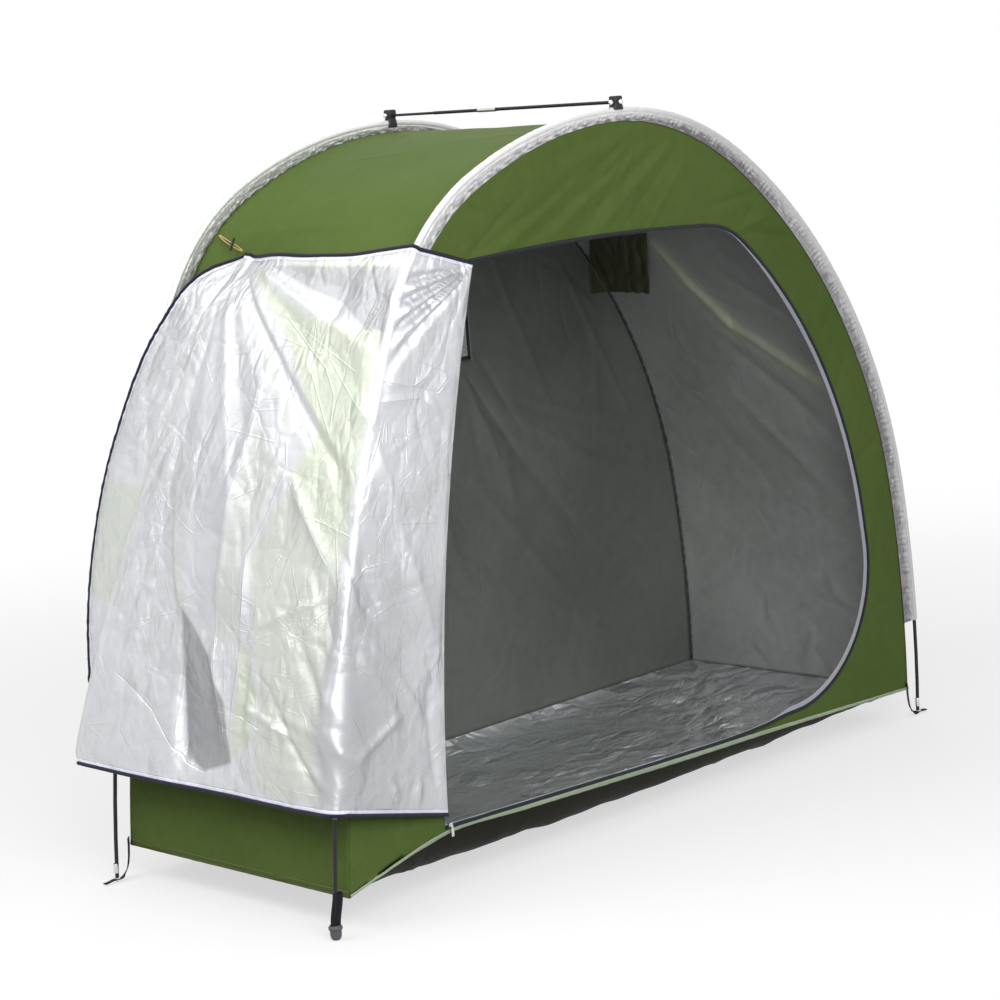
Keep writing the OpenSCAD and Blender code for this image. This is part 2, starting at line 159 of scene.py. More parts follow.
def swell(u, v, seed, size, count=22):
    """Sum of plane waves in random directions, each about one size long, scaled to about 1."""
    rng = np.random.default_rng(seed)
    total = np.zeros(np.broadcast(u, v).shape)
    for a, k, p in zip(rng.uniform(0, 2 * np.pi, count), rng.uniform(0.6, 1.8, count),
                       rng.uniform(0, 2 * np.pi, count)):
        total += np.sin(2 * np.pi * k / size * (u * np.cos(a) + v * np.sin(a)) + p)
    return total / np.sqrt(count)


def creases(u, v, lines):
    """Sharp folds along straight lines (u0, v0, u1, v1, height, width): the height falls off with distance and
    fades out to the two ends."""
    total = np.zeros(np.broadcast(u, v).shape)
    for u0, v0, u1, v1, height, width in lines:
        du, dv = u1 - u0, v1 - v0
        t = np.clip(((u - u0) * du + (v - v0) * dv) / (du * du + dv * dv), 0.0, 1.0)
        d = np.hypot(u - u0 - t * du, v - v0 - t * dv)
        total += height * np.exp(-(d / width) ** 1.4) * np.sin(np.pi * np.clip(t, 0.02, 0.98)) ** 0.5
    return total


def stray_lines(seed, count, box, length, height, width, slant=None):
    """Random straight folds in a box (u0, u1, v0, v1): length, height and width are ranges, slant the usual angle."""
    rng = np.random.default_rng(seed)
    u, v = rng.uniform(box[0], box[1], count), rng.uniform(box[2], box[3], count)
    a = rng.uniform(0, np.pi, count) if slant is None else rng.normal(slant, 0.35, count)
    r = rng.uniform(*length, count) / 2
    h = rng.uniform(*height, count) * rng.choice([-1.0, 1.0], count)
    w = rng.uniform(*width, count)
    return np.stack([u - r * np.cos(a), v - r * np.sin(a), u + r * np.cos(a), v + r * np.sin(a), h, w], 1)


def around(u, v, apex):
    """Distance from a point, and the angle from straight down in degrees, counted to the left."""
    du, dv = u - apex[0], v - apex[1]
    return np.hypot(du, dv), np.degrees(np.arctan2(-du, -dv))


def fan(u, v, apex, rays):
    """Folds that run out from one point. A ray is (angle, height, angular width, start and end distance): a bell over
    the angle that swells and fades along the distance."""
    r, angle = around(u, v, apex)
    total = np.zeros(r.shape)
    for a, height, width, start, end in rays:
        along = ease((r - 0.4 * start) / (0.6 * start + 0.08)) * (1 - ease((r - 0.65 * end) / (0.35 * end + 0.02)))
        total += height * np.exp(-np.abs((angle - a) / width) ** 1.7) * along
    return total


def pleats(u, v, apex, angles, heights, near, end):
    """Straight pleats gathered in one point: flat facets between rays at given angles and heights, which grow with
    the distance over the first near metres and die out towards the end."""
    r, angle = around(u, v, apex)
    return np.interp(angle, angles, heights) * r / (r + near) * (1 - ease((r - 0.5 * end) / (0.5 * end)))


# Meshes

def patch(points, uv=None, material=0, toward=None, closed=False, **marks):
    """One grid of points with its cloth coordinates, material number and marks; toward turns its faces that way, and
    closed joins its last row to the first."""
    points = np.asarray(points, float)
    if uv is None:
        du = np.linalg.norm(np.diff(points, axis=0), axis=-1).mean(1)
        dv = np.linalg.norm(np.diff(points, axis=1), axis=-1).mean(0)
        uv = np.stack(np.meshgrid(np.concatenate([[0], np.cumsum(du)]), np.concatenate([[0], np.cumsum(dv)]),
                                  indexing="ij"), -1)
    if toward is not None:
        normal = np.cross(points[1:, :-1] - points[:-1, :-1], points[:-1, 1:] - points[:-1, :-1])
        if (normal * np.asarray(toward, float)).sum() < 0:
            points, uv = points[::-1], uv[::-1]
            marks = {k: np.asarray(m)[::-1] for k, m in marks.items()}
    return {"points": points, "uv": uv, "material": material, "closed": closed, "marks": marks}


def piece(name, patches, materials, replaced=(), weld=False, sharp=None, solid=None):
    """Joins grids to one mesh object on the frame. weld closes the seams and turns the faces out; solid gives the
    cloth a thickness to the inside, whose face takes the next material; sharp is the angle of kept edges."""
    sizes = [p["points"].shape[0] * p["points"].shape[1] for p in patches]
    starts = np.concatenate([[0], np.cumsum(sizes)])
    points = np.concatenate([p["points"].reshape(-1, 3) for p in patches])
    uv = np.concatenate([np.broadcast_to(p["uv"], p["points"].shape[:2] + (2,)).reshape(-1, 2) for p in patches])
    quads, number = [], []
    for p, start in zip(patches, starts):
        k = np.arange(p["points"].shape[0] * p["points"].shape[1]).reshape(p["points"].shape[:2]) + start
        k = np.concatenate([k, k[:1]]) if p["closed"] else k
        q = np.stack([k[:-1, :-1], k[1:, :-1], k[1:, 1:], k[:-1, 1:]], -1).reshape(-1, 4)
        quads.append(q)
        number.append(np.full(len(q), p["material"]))
    quads, number = np.concatenate(quads), np.concatenate(number)
    mesh = bpy.data.meshes.new(name)
    mesh.vertices.add(len(points))
    mesh.vertices.foreach_set("co", points.ravel())
    mesh.loops.add(quads.size)
    mesh.loops.foreach_set("vertex_index", quads.ravel())
    mesh.polygons.add(len(quads))
    mesh.polygons.foreach_set("loop_start", np.arange(0, quads.size, 4))
    mesh.polygons.foreach_set("material_index", number)
    mesh.update(calc_edges=True)
    mesh.uv_layers.new(name="cloth").data.foreach_set("uv", uv[quads.ravel()].ravel())
    for key in sorted({k for p in patches for k in p["marks"]}):
        values = [np.broadcast_to(p["marks"].get(key, 0.0), p["points"].shape[:2]).ravel() for p in patches]
        mesh.attributes.new(key, "FLOAT", "POINT").data.foreach_set("value", np.concatenate(values))
    if weld:
        shape = bmesh.new()
        shape.from_mesh(mesh)
        bmesh.ops.remove_doubles(shape, verts=shape.verts, dist=2e-6)
        bmesh.ops.recalc_face_normals(shape, faces=shape.faces)
        shape.to_mesh(mesh)
        shape.free()
    mesh.shade_smooth()
    if sharp is not None:
        mesh.set_sharp_from_angle(angle=np.radians(sharp))
    for m in materials:
        mesh.materials.append(m)
    obj = bpy.data.objects.new(name, mesh)
    bpy.context.scene.collection.objects.link(obj)
    if solid is not None:
        wall = obj.modifiers.new("thickness", "SOLIDIFY")
        wall.thickness, wall.offset = solid, -1.0
        wall.material_offset = 1 if len(materials) > 1 else 0
    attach(obj, "root")
    if replaced:
        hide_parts(*replaced)
    return obj


def sweep(path, profile, ref, caps=False, scale=None):
    """Carries a flat profile along a path. Its x runs along ref made square to the path, its y along the third
    direction; caps closes the two ends to a point, scale changes the profile's size along the path."""
    path, profile = np.asarray(path, float), np.asarray(profile, float)
    tangent = unit(np.gradient(path, axis=0))
    ref = np.broadcast_to(np.asarray(ref, float), path.shape)
    x = unit(ref - (ref * tangent).sum(1, keepdims=True) * tangent)
    y = np.cross(tangent, x)
    k = np.ones(len(path)) if scale is None else np.asarray(scale, float)
    points = path[:, None] + k[:, None, None] * (profile[None, :, :1] * x[:, None] + profile[None, :, 1:] * y[:,
                                                                                                              None])
    if caps:
        ends = np.broadcast_to(path[[0, -1], None], (2,) + points.shape[1:])
        points = np.concatenate([ends[:1], points, ends[1:]])
    return points


def ring(rx, ry, count, power=2.0):
    """Closed oval profile; a power over 2 squares it off."""
    a = np.linspace(0, 2 * np.pi, count + 1)
    c, s = np.cos(a), np.sin(a)
    return np.stack([rx * np.sign(c) * np.abs(c) ** (2 / power), ry * np.sign(s) * np.abs(s) ** (2 / power)], 1)


def lathe(outline, centre, count=36, turn=None):
    """Turns an outline of (radius, height) pairs about an upright axis, or about an axis given by a 3 x 3 matrix."""
    outline = np.asarray(outline, float)
    a = np.linspace(0, 2 * np.pi, count + 1)
    r, z = outline[:, :1], outline[:, 1:]
    points = stacked(r * np.cos(a), r * np.sin(a), z + 0 * a)
    if turn is not None:
        points = points @ np.asarray(turn, float).T
    return points + np.asarray(centre, float)


def spaced(line, count):
    """The same line with its points at even distances."""
    line = np.asarray(line, float)
    d = lengths_along(line)
    t = np.linspace(0, d[-1], count)
    return np.stack([np.interp(t, d, line[:, k]) for k in range(line.shape[1])], 1)


# Shader trees

class Tree:
    """Adds nodes to a shader tree and joins them by their sockets."""

    def __init__(self, tree):
        self.tree = tree

    def node(self, kind, ins=None, **props):
        """A new node with its settings, and with values or links at its inputs."""
        n = self.tree.nodes.new("ShaderNode" + kind)
        for k, v in props.items():
            setattr(n, k, v)
        for k, v in (ins or {}).items():
            if isinstance(v, bpy.types.NodeSocket):
                self.tree.links.new(v, n.inputs[k])
            else:
                n.inputs[k].default_value = v
        return n

    def math(self, operation, a, b=0.0, clamp=False):
        """Result of one sum on one or two values."""
        n = self.node("Math", {0: a, 1: b}, operation=operation)
        n.use_clamp = clamp
        return n.outputs[0]

    def span(self, value, low, high, to_low=0.0, to_high=1.0):
        """Maps a value's range to another one, smoothly and held at the ends."""
        return self.node("MapRange", {"Value": value, "From Min": low, "From Max": high, "To Min": to_low,
                                      "To Max": to_high}, interpolation_type="SMOOTHSTEP").outputs[0]

    def mix(self, factor, a, b):
        """Colour between a and b by a factor."""
        return self.node("Mix", {0: factor, 6: a, 7: b}, data_type="RGBA").outputs[2]


def shader_group(name, ins, outs, build):
    """A shader group with named inputs (name, kind, value) and outputs; build gets the tree and the input sockets
    and returns the output sockets in order."""
    group = bpy.data.node_groups.new(name, "ShaderNodeTree")
    for label, kind, value in ins:
        socket = group.interface.new_socket(label, in_out="INPUT", socket_type="NodeSocket" + kind)
        if value is not None:
            socket.default_value = value
    for label, kind in outs:
        group.interface.new_socket(label, in_out="OUTPUT", socket_type="NodeSocket" + kind)
    tree = Tree(group)
    entry, leave = group.nodes.new("NodeGroupInput"), group.nodes.new("NodeGroupOutput")
    for socket, result in zip(leave.inputs, build(tree, entry.outputs)):
        group.links.new(result, socket)
    return group


def weave_build(t, i):
    """Plain weave: two sines of the cloth coordinates, one thread over and one under."""
    p = t.node("SeparateXYZ", {0: i["Cloth"]})
    k = t.math("DIVIDE", 6.28318, i["Pitch"])
    a = t.math("SINE", t.math("MULTIPLY", p.outputs[0], k))
    b = t.math("SINE", t.math("MULTIPLY", p.outputs[1], k))
    return [t.math("MULTIPLY_ADD", t.math("MULTIPLY", a, b), 0.5)]


def crumple_build(t, i):
    """Fine creases of folded cloth: ridged noise over the borders of bent cells."""
    warp = t.node("TexNoise", {"Vector": i["Place"], "Scale": 3.0, "Detail": 2.0})
    shift = t.node("VectorMath", {0: warp.outputs["Color"], "Scale": 0.35}, operation="SCALE")
    place = t.node("VectorMath", {0: i["Place"], 1: shift.outputs[0]}, operation="ADD").outputs[0]
    k = t.math("DIVIDE", 1.0, i["Size"])
    cells = t.node("TexVoronoi", {"Vector": place, "Scale": k}, feature="DISTANCE_TO_EDGE")
    ridge = t.node("TexNoise", {"Vector": place, "Scale": t.math("MULTIPLY", k, 1.7), "Detail": 1.0},
                   noise_type="RIDGED_MULTIFRACTAL")
    edge = t.span(cells.outputs["Distance"], 0.0, 0.16)
    return [t.math("ADD", t.math("MULTIPLY", edge, 0.30), t.math("MULTIPLY", ridge.outputs[0], 0.30))]


def facets_build(t, i):
    """Flat facets with crisp edges, as left by packing: height grows evenly from the borders of long cells, and the
    slope comes and goes over the cloth."""
    long = t.node("VectorMath", {0: i["Cloth"], 1: (0.55, 1.0, 1.0)}, operation="MULTIPLY").outputs[0]
    cells = t.node("TexVoronoi", {"Vector": long, "Scale": t.math("DIVIDE", 1.0, i["Size"])},
                   feature="DISTANCE_TO_EDGE")
    where = t.node("TexNoise", {"Vector": i["Cloth"], "Scale": 5.0, "Detail": 1.0})
    rise = t.math("MULTIPLY", t.math("MULTIPLY", cells.outputs["Distance"], i["Size"]), i["Slope"])
    return [t.math("MULTIPLY", rise, t.span(where.outputs[0], 0.36, 0.64, 0.15, 1.0))]


def fade_build(t, i):
    """Slow change of shade over the cloth, from two sizes of noise."""
    a = t.node("TexNoise", {"Vector": i["Place"], "Scale": 2.2, "Detail": 3.0})
    b = t.node("TexNoise", {"Vector": i["Place"], "Scale": 34.0, "Detail": 4.0})
    return [t.math("ADD", t.math("MULTIPLY", a.outputs[0], 0.7), t.math("MULTIPLY", b.outputs[0], 0.3))]


def stitch_build(t, i):
    """Row of stitches: dashes along the cloth's length, at one distance across it."""
    p = t.node("SeparateXYZ", {0: i["Cloth"]})
    off = t.math("ABSOLUTE", t.math("SUBTRACT", p.outputs[1], i["Row"]))
    row = t.math("SUBTRACT", 1.0, t.span(off, 0.0003, 0.0009))
    beat = t.math("FRACT", t.math("DIVIDE", p.outputs[0], i["Pitch"]))
    dash = t.math("SUBTRACT", 1.0, t.span(t.math("ABSOLUTE", t.math("SUBTRACT", beat, 0.5)), 0.30, 0.40))
    return [t.math("MULTIPLY", row, dash)]


WEAVE = shader_group("plain weave", [("Cloth", "Vector", None), ("Pitch", "Float", 0.001)], [("Height", "Float")],
                     weave_build)
CRUMPLE = shader_group("fold creases", [("Place", "Vector", None), ("Size", "Float", 0.05)], [("Height", "Float")],
                       crumple_build)
FACETS = shader_group("pressed facets", [("Cloth", "Vector", None), ("Size", "Float", 0.08), ("Slope", "Float", 0.1)],
                      [("Height", "Float")], facets_build)
FADE = shader_group("slow fading", [("Place", "Vector", None)], [("Shade", "Float")], fade_build)
STITCH = shader_group("stitch row", [("Cloth", "Vector", None), ("Row", "Float", 0.004), ("Pitch", "Float", 0.004)],
                      [("Thread", "Float")], stitch_build)


def start_material(name):
    """A new material: its tree, its main shader, the object place and the cloth coordinates."""
    material = bpy.data.materials.new(name)
    material.use_nodes = True
    t = Tree(material.node_tree)
    shader = material.node_tree.nodes["Principled BSDF"]
    coords = t.node("TexCoord")
    return material, t, shader, coords.outputs["Object"], coords.outputs["UV"]


def group_node(t, group, **ins):
    """Places a group with its inputs and gives its first output."""
    n = t.node("Group", node_tree=group)
    for k, v in ins.items():
        if isinstance(v, bpy.types.NodeSocket):
            t.tree.links.new(v, n.inputs[k])
        else:
            n.inputs[k].default_value = v
    return n.outputs[0]


def join(t, shader, name, socket):
    """Joins a result to one of the shader's inputs."""
    t.tree.links.new(socket, shader.inputs[name])


def shaded(t, place, dark, light):
    """Slow fading over the surface, and the colour that it mixes from a dark and a light one."""
    shade = group_node(t, FADE, Place=place)
    return shade, t.mix(t.span(shade, 0.3, 0.7), dark + (1.0,), light + (1.0,))


def dress(t, shader, colour, gloss, height, gleam):
    """Joins colour, roughness and the height of the surface to the shader, and sets how much it mirrors."""
    join(t, shader, "Base Color", colour)
    join(t, shader, "Roughness", gloss)
    bump = t.node("Bump", {"Height": height, "Strength": 1.0, "Distance": 1.0})
    join(t, shader, "Normal", bump.outputs[0])
    shader.inputs["Specular IOR Level"].default_value = gleam


def coated_cloth(name, dark, light, rough, metal, pitch, crease, crease_size, gleam=0.5, facet=0.0, tint=None,
                 tape=None, lines=(), tones=()):
    """Coated polyester: shade between two colours by slow fading, plain weave, fold creases in the surface, flat
    pressed facets of a given slope, and where the mesh carries the marks, single crease lines, areas of another tone
    (green where a layer behind shows through, grey that paints shade), a tint (painted shade on the sleeves, a painted
    highlight along the canopy's folds) and a smooth tape along the edge."""
    material, t, shader, place, cloth = start_material(name)
    shade, colour = shaded(t, place, dark, light)
    weave = group_node(t, WEAVE, Cloth=cloth, Pitch=pitch)
    fold = group_node(t, CRUMPLE, Place=place, Size=crease_size)
    colour = t.mix(t.math("MULTIPLY", weave, 0.10), colour, (0.0, 0.0, 0.0, 1.0))
    if tint is not None:
        mask = t.node("Attribute", attribute_name="tint").outputs["Fac"]
        mask = t.math("MULTIPLY", mask, t.span(shade, 0.25, 0.6, 0.45, 1.0), clamp=True)
        colour = t.mix(mask, colour, tint + (1.0,))
    for mark, tone, soft in tones:
        depth, strength = (t.node("Attribute", attribute_name=mark + end).outputs["Fac"] for end in ("_area",
                                                                                                     "_share"))
        mask = t.math("MULTIPLY", t.span(depth, -soft, soft),
                      t.math("MULTIPLY", strength, t.span(shade, 0.25, 0.65, 0.75, 1.0)))
        colour = t.mix(mask, colour, tone + (1.0,))
    gloss = t.span(shade, 0.3, 0.7, rough - 0.05, rough + 0.06)
    height = t.math("ADD", t.math("MULTIPLY", fold, crease), t.math("MULTIPLY", weave, 0.00012))
    if facet > 0.0:
        for size, share in ((0.085, 1.0), (0.030, 0.8)):
            height = t.math("ADD", height, group_node(t, FACETS, Cloth=cloth, Size=size, Slope=facet * share))
    for mark, ridge in lines:
        away = t.math("ABSOLUTE", t.node("Attribute", attribute_name=mark).outputs["Fac"])
        height = t.math("ADD", height, t.span(away, 0.0, 0.0028, ridge, 0.0))
    if tape is not None:
        edge = t.node("Attribute", attribute_name="edge").outputs["Fac"]
        band = t.math("SUBTRACT", 1.0, t.span(edge, 0.010, 0.0125))
        colour = t.mix(band, colour, tape + (1.0,))
        gloss = t.math("ADD", gloss, t.math("MULTIPLY", band, 0.25))
        line = t.span(t.math("ABSOLUTE", t.math("SUBTRACT", edge, 0.0118)), 0.0, 0.0016, 0.0006, 0.0)
        height = t.math("SUBTRACT", height, line)
    dress(t, shader, colour, gloss, height, gleam)
    shader.inputs["Metallic"].default_value = metal
    return material


def sewn_tape(name, dark, light, rough, pitch, rows, thread, rib=0.0):
    """Woven tape with rows of stitches at given distances across it; rib is the height of its cross ribs."""
    material, t, shader, place, cloth = start_material(name)
    shade, colour = shaded(t, place, dark, light)
    weave = group_node(t, WEAVE, Cloth=cloth, Pitch=pitch)
    colour = t.mix(t.math("MULTIPLY", weave, 0.22), colour, (0.0, 0.0, 0.0, 1.0))
    height = t.math("MULTIPLY", weave, 0.0002 + rib)
    for row in rows:
        mark = group_node(t, STITCH, Cloth=cloth, Row=row, Pitch=0.0042)
        colour = t.mix(mark, colour, thread + (1.0,))
        height = t.math("ADD", height, t.math("MULTIPLY", mark, 0.0004))
    dress(t, shader, colour, t.span(shade, 0.3, 0.7, rough - 0.06, rough + 0.06), height, 0.12)
    return material


def zip_coil(name, dark, light):
    """Nylon coil: ribs along the length, with worn tops."""
    material, t, shader, place, cloth = start_material(name)
    p = t.node("SeparateXYZ", {0: cloth})
    beat = t.math("SINE", t.math("MULTIPLY", p.outputs[0], 6.28318 / 0.0022))
    shade = group_node(t, FADE, Place=place)
    top = t.math("MULTIPLY", t.span(beat, -0.2, 0.9), t.span(shade, 0.3, 0.7, 0.4, 1.0))
    colour = t.mix(top, dark + (1.0,), light + (1.0,))
    dress(t, shader, colour, t.span(shade, 0.3, 0.7, 0.34, 0.5), t.math("MULTIPLY", beat, 0.0004), 0.2)
    return material


def moulded(name, dark, light, rough, grain, metal=0.0, coat=0.0):
    """Moulded plastic or drawn metal: fine grain in the surface, shade and gloss that change slowly, small scuffs."""
    material, t, shader, place, _ = start_material(name)
    shade, colour = shaded(t, place, dark, light)
    fine = t.node("TexNoise", {"Vector": place, "Scale": 900.0, "Detail": 3.0})
    scuff = t.node("TexNoise", {"Vector": place, "Scale": 160.0, "Detail": 6.0, "Distortion": 1.5})
    worn = t.span(scuff.outputs[0], 0.56, 0.72)
    rubbed = tuple(min(1.0, 1.6 * v + 0.02) for v in light)
    colour = t.mix(t.math("MULTIPLY", worn, 0.35), colour, rubbed + (1.0,))
    gloss = t.math("ADD", t.math("MULTIPLY", worn, 0.15), t.span(shade, 0.3, 0.7, rough - 0.05, rough + 0.05))
    dress(t, shader, colour, gloss, t.math("MULTIPLY", fine.outputs[0], grain), 0.3)
    shader.inputs["Metallic"].default_value = metal
    shader.inputs["Coat Weight"].default_value = coat
    return material


def net(name, thread, pitch):
    """Window netting: crossed threads in the wall's plane with open squares between them."""
    material, t, shader, place, _ = start_material(name)
    p = t.node("SeparateXYZ", {0: place})
    shade, colour = shaded(t, place, tuple(0.7 * v for v in thread), thread)
    k = np.pi / pitch
    a = t.math("ABSOLUTE", t.math("SINE", t.math("MULTIPLY", p.outputs[0], k)))
    b = t.math("ABSOLUTE", t.math("SINE", t.math("MULTIPLY", p.outputs[2], k)))
    low = t.math("MINIMUM", a, b)
    join(t, shader, "Alpha", t.math("SUBTRACT", 1.0, t.span(low, 0.80, 0.90)))
    join(t, shader, "Base Color", colour)
    join(t, shader, "Roughness", t.span(shade, 0.3, 0.7, 0.55, 0.7))
    return material


GREEN = coated_cloth("green tent cloth", (0.086, 0.133, 0.031), (0.111, 0.166, 0.043), 0.60, 0.0, 0.0011, 0.0011,
                     0.16, gleam=0.05)
# Painted shade: the lining's silver is darkened for the shade inside the tent, and its far-wall copy more so. The
# lining's pale green tint is a painted highlight along the canopy's rear folds.
LINING = coated_cloth("silver lining with painted shade", (0.31, 0.32, 0.31), (0.41, 0.42, 0.41), 0.42, 0.35, 0.0011, 0.0020, 0.11,
                      tint=(0.56, 0.61, 0.45))
FAR_LINING = coated_cloth("shaded silver lining", (0.126, 0.138, 0.124), (0.170, 0.182, 0.163), 0.45, 0.25, 0.0011,
                          0.0014, 0.11)
GROUND_SILVER = coated_cloth("crumpled silver ground sheet", (0.70, 0.73, 0.75), (0.88, 0.90, 0.92), 0.22, 0.75,
                             0.0012, 0.0050, 0.09, facet=0.50)
GROUND_BLACK = coated_cloth("black ground sheet", (0.012, 0.012, 0.007), (0.021, 0.020, 0.012), 0.55, 0.0, 0.0014,
                            0.0010, 0.12, gleam=0.08)
# The flap's grey tone is painted shade; its green tone is the outer green showing through.
FLAP_SILVER = coated_cloth("bright silver flap", (0.63, 0.64, 0.66), (0.75, 0.76, 0.785), 0.36, 0.80, 0.0011, 0.0020,
                           0.09, facet=0.18,
                           tint=(0.70, 0.79, 0.57), tape=(0.78, 0.79, 0.90),
                           lines=(("line_a", 0.0008), ("line_b", 0.0008), ("line_c", -0.0008), ("line_d", 0.0005)),
                           tones=(("green", (0.60, 0.65, 0.52), 0.012), ("grey", (0.29, 0.29, 0.30), 0.005)))
# The sleeve's dark tint is painted shade.
SLEEVE_SILVER = coated_cloth("pole sleeve", (0.82, 0.82, 0.83), (0.93, 0.93, 0.94), 0.36, 0.30, 0.0011, 0.0016, 0.05,
                             tint=(0.17, 0.16, 0.17))
PATCH_GREEN = coated_cloth("dark green patch", (0.030, 0.036, 0.012), (0.045, 0.052, 0.018), 0.60, 0.0, 0.0012,
                           0.0012, 0.06)
PIPING = sewn_tape("pale green hem tape", (0.36, 0.45, 0.31), (0.47, 0.56, 0.41), 0.55, 0.0016, (0.003, 0.013),
                   (0.62, 0.68, 0.55))
HEM_GREEN = sewn_tape("green hem fold", (0.075, 0.108, 0.028), (0.10, 0.14, 0.038), 0.6, 0.0012, (0.003, 0.013),
                      (0.20, 0.26, 0.10))
ZIP_TAPE = sewn_tape("pale zip tape", (0.40, 0.41, 0.47), (0.52, 0.53, 0.59), 0.6, 0.0014, (0.004,),
                     (0.70, 0.71, 0.76))
DARK_TAPE = sewn_tape("dark seam tape", (0.030, 0.031, 0.034), (0.052, 0.053, 0.056), 0.6, 0.0014, (0.003, 0.011),
                      (0.08, 0.08, 0.10))
WEBBING = sewn_tape("black webbing", (0.010, 0.010, 0.014), (0.022, 0.022, 0.028), 0.62, 0.0022, (0.003, 0.021),
                    (0.05, 0.05, 0.06), rib=0.0004)
ELASTIC = sewn_tape("cream elastic", (0.66, 0.42, 0.18), (0.82, 0.62, 0.36), 0.6, 0.0016, (), (0.9, 0.8, 0.6),
                    rib=0.0003)
COIL = zip_coil("navy zip coil", (0.008, 0.008, 0.018), (0.030, 0.031, 0.056))
POLE_GLOSS = moulded("black fibreglass", (0.008, 0.008, 0.009), (0.016, 0.016, 0.018), 0.30, 0.00004, coat=0.06)
BLACK_PLASTIC = moulded("black moulded plastic", (0.012, 0.012, 0.014), (0.024, 0.024, 0.028), 0.42, 0.00010)
GREY_PLASTIC = moulded("grey moulded plastic", (0.085, 0.088, 0.098), (0.13, 0.134, 0.146), 0.40, 0.00012)
BRIGHT_METAL = moulded("bright metal", (0.62, 0.62, 0.63), (0.74, 0.74, 0.75), 0.22, 0.00003, metal=1.0)
NETTING = net("grey netting", (0.070, 0.072, 0.076), 0.0032)


# Camera, light and floor

def photo_camera():
    """The camera's place and turn, with a long lens; the picture is square."""
    yaw, pitch, roll = np.radians([44.588, 9.359, -4.231])
    ahead = np.array([np.cos(yaw) * np.cos(pitch), np.sin(yaw) * np.cos(pitch), -np.sin(pitch)])
    right = unit(np.cross(ahead, [0.0, 0.0, 1.0]))
    up = np.cross(right, ahead)
    c, s = np.cos(roll), np.sin(roll)
    axes = np.stack([c * right + s * up, -s * right + c * up, -ahead], 1)
    data = bpy.data.cameras.new("camera")
    data.lens, data.sensor_width, data.sensor_fit, data.clip_end = 93.58, 36.0, "AUTO", 60.0
    camera = bpy.data.objects.new("camera", data)
    place = np.eye(4)
    place[:3, :3], place[:3, 3] = axes, (-4.449, -4.365, 1.752)
    camera.matrix_world = Matrix(place.tolist())
    bpy.context.scene.collection.objects.link(camera)
    bpy.context.scene.camera = camera


def soft_lamp(name, place, target, size, energy):
    """A square lamp that faces a point."""
    data = bpy.data.lights.new(name, "AREA")
    data.size, data.energy = size, energy
    lamp = bpy.data.objects.new(name, data)
    z = unit(np.asarray(place, float) - np.asarray(target, float))
    x = unit(np.cross([0.0, 0.0, 1.0], z))
    turn = np.eye(4)
    turn[:3, :3], turn[:3, 3] = np.stack([x, np.cross(z, x), z], 1), place
    lamp.matrix_world = Matrix(turn.tolist())
    bpy.context.scene.collection.objects.link(lamp)


def seen_rays(t):
    """1 for what the camera sees directly, in a reflection or through something, and 0 for light on the object."""
    rays = t.node("LightPath").outputs
    return t.math("MAXIMUM", rays["Is Camera Ray"], t.math("MAXIMUM", rays["Is Glossy Ray"],
                                                           rays["Is Transmission Ray"]))


def studio():
    """White surroundings for the camera and for reflections, softer for the light, and a pale floor."""
    world = bpy.data.worlds.new("studio")
    bpy.context.scene.world = world
    world.use_nodes = True
    t = Tree(world.node_tree)
    back = world.node_tree.nodes["Background"]
    seen = seen_rays(t)
    t.tree.links.new(t.math("ADD", t.math("MULTIPLY", seen, 0.55), 0.45), back.inputs["Strength"])
    back.inputs["Color"].default_value = (1.0, 1.0, 1.0, 1.0)
    bpy.context.scene.view_settings.view_transform = "Standard"
    soft_lamp("key", (-2.2, -3.2, 2.5), (-0.6, -0.2, 0.8), 2.4, 105.0)
    soft_lamp("left", (-3.6, 1.0, 4.4), (-0.5, 0.1, 0.8), 2.6, 75.0)
    soft_lamp("top", (-0.8, -0.4, 4.6), (-0.1, 0.0, 1.0), 3.0, 28.0)
    soft_lamp("back", (3.4, 3.4, 3.4), (0.0, 0.0, 0.8), 3.0, 25.0)
    floor_mesh = bpy.data.meshes.new("floor_plane")
    r = 14.0
    floor_mesh.from_pydata([(-r, -r, 0), (r, -r, 0), (r, r, 0), (-r, r, 0)], [], [(0, 1, 2, 3)])
    material = bpy.data.materials.new("pale floor")
    material.use_nodes = True
    t = Tree(material.node_tree)
    paint = material.node_tree.nodes["Principled BSDF"]
    away = t.node("VectorMath", {0: t.node("TexCoord").outputs["Object"]}, operation="LENGTH").outputs["Value"]
    fade = t.span(away, 1.6, 4.5)
    join(t, paint, "Base Color", t.mix(fade, (0.34, 0.34, 0.34, 1.0), (0.0, 0.0, 0.0, 1.0)))
    paint.inputs["Roughness"].default_value = 0.9
    paint.inputs["Specular IOR Level"].default_value = 0.0
    paint.inputs["Emission Color"].default_value = (1.0, 1.0, 1.0, 1.0)
    join(t, paint, "Emission Strength", t.math("MULTIPLY", seen_rays(t),
                                               t.math("ADD", t.math("MULTIPLY", fade, 0.38), 0.62)))
    floor_mesh.materials.append(material)
    floor_plane = bpy.data.objects.new("floor_plane", floor_mesh)
    bpy.context.scene.collection.objects.link(floor_plane)


# Outlines of the walls

FRONT_SEAM = run_at(FRONT, HEM_Z, SLEEVE_W)
REAR_SEAM = ARCH_RUN - run_at(REAR, HEM_Z, SLEEVE_W)
FRONT_HEM_X = on_arch(np.array(FRONT_SEAM), -SLEEVE_W, 0.0)[0]
REAR_HEM_X = on_arch(np.array(REAR_SEAM), -SLEEVE_W, 0.0)[0]


def near_hem_z(x):
    """Height of the door side's hem: lifted beside the front of the door and lower to the rear."""
    return through(x, [-1.02, -0.90, -0.72, -0.45, -0.20, 0.10, 0.40, 0.70, 1.01],
                   [0.073, 0.101, 0.137, 0.130, 0.120, 0.108, 0.099, 0.088, 0.077])


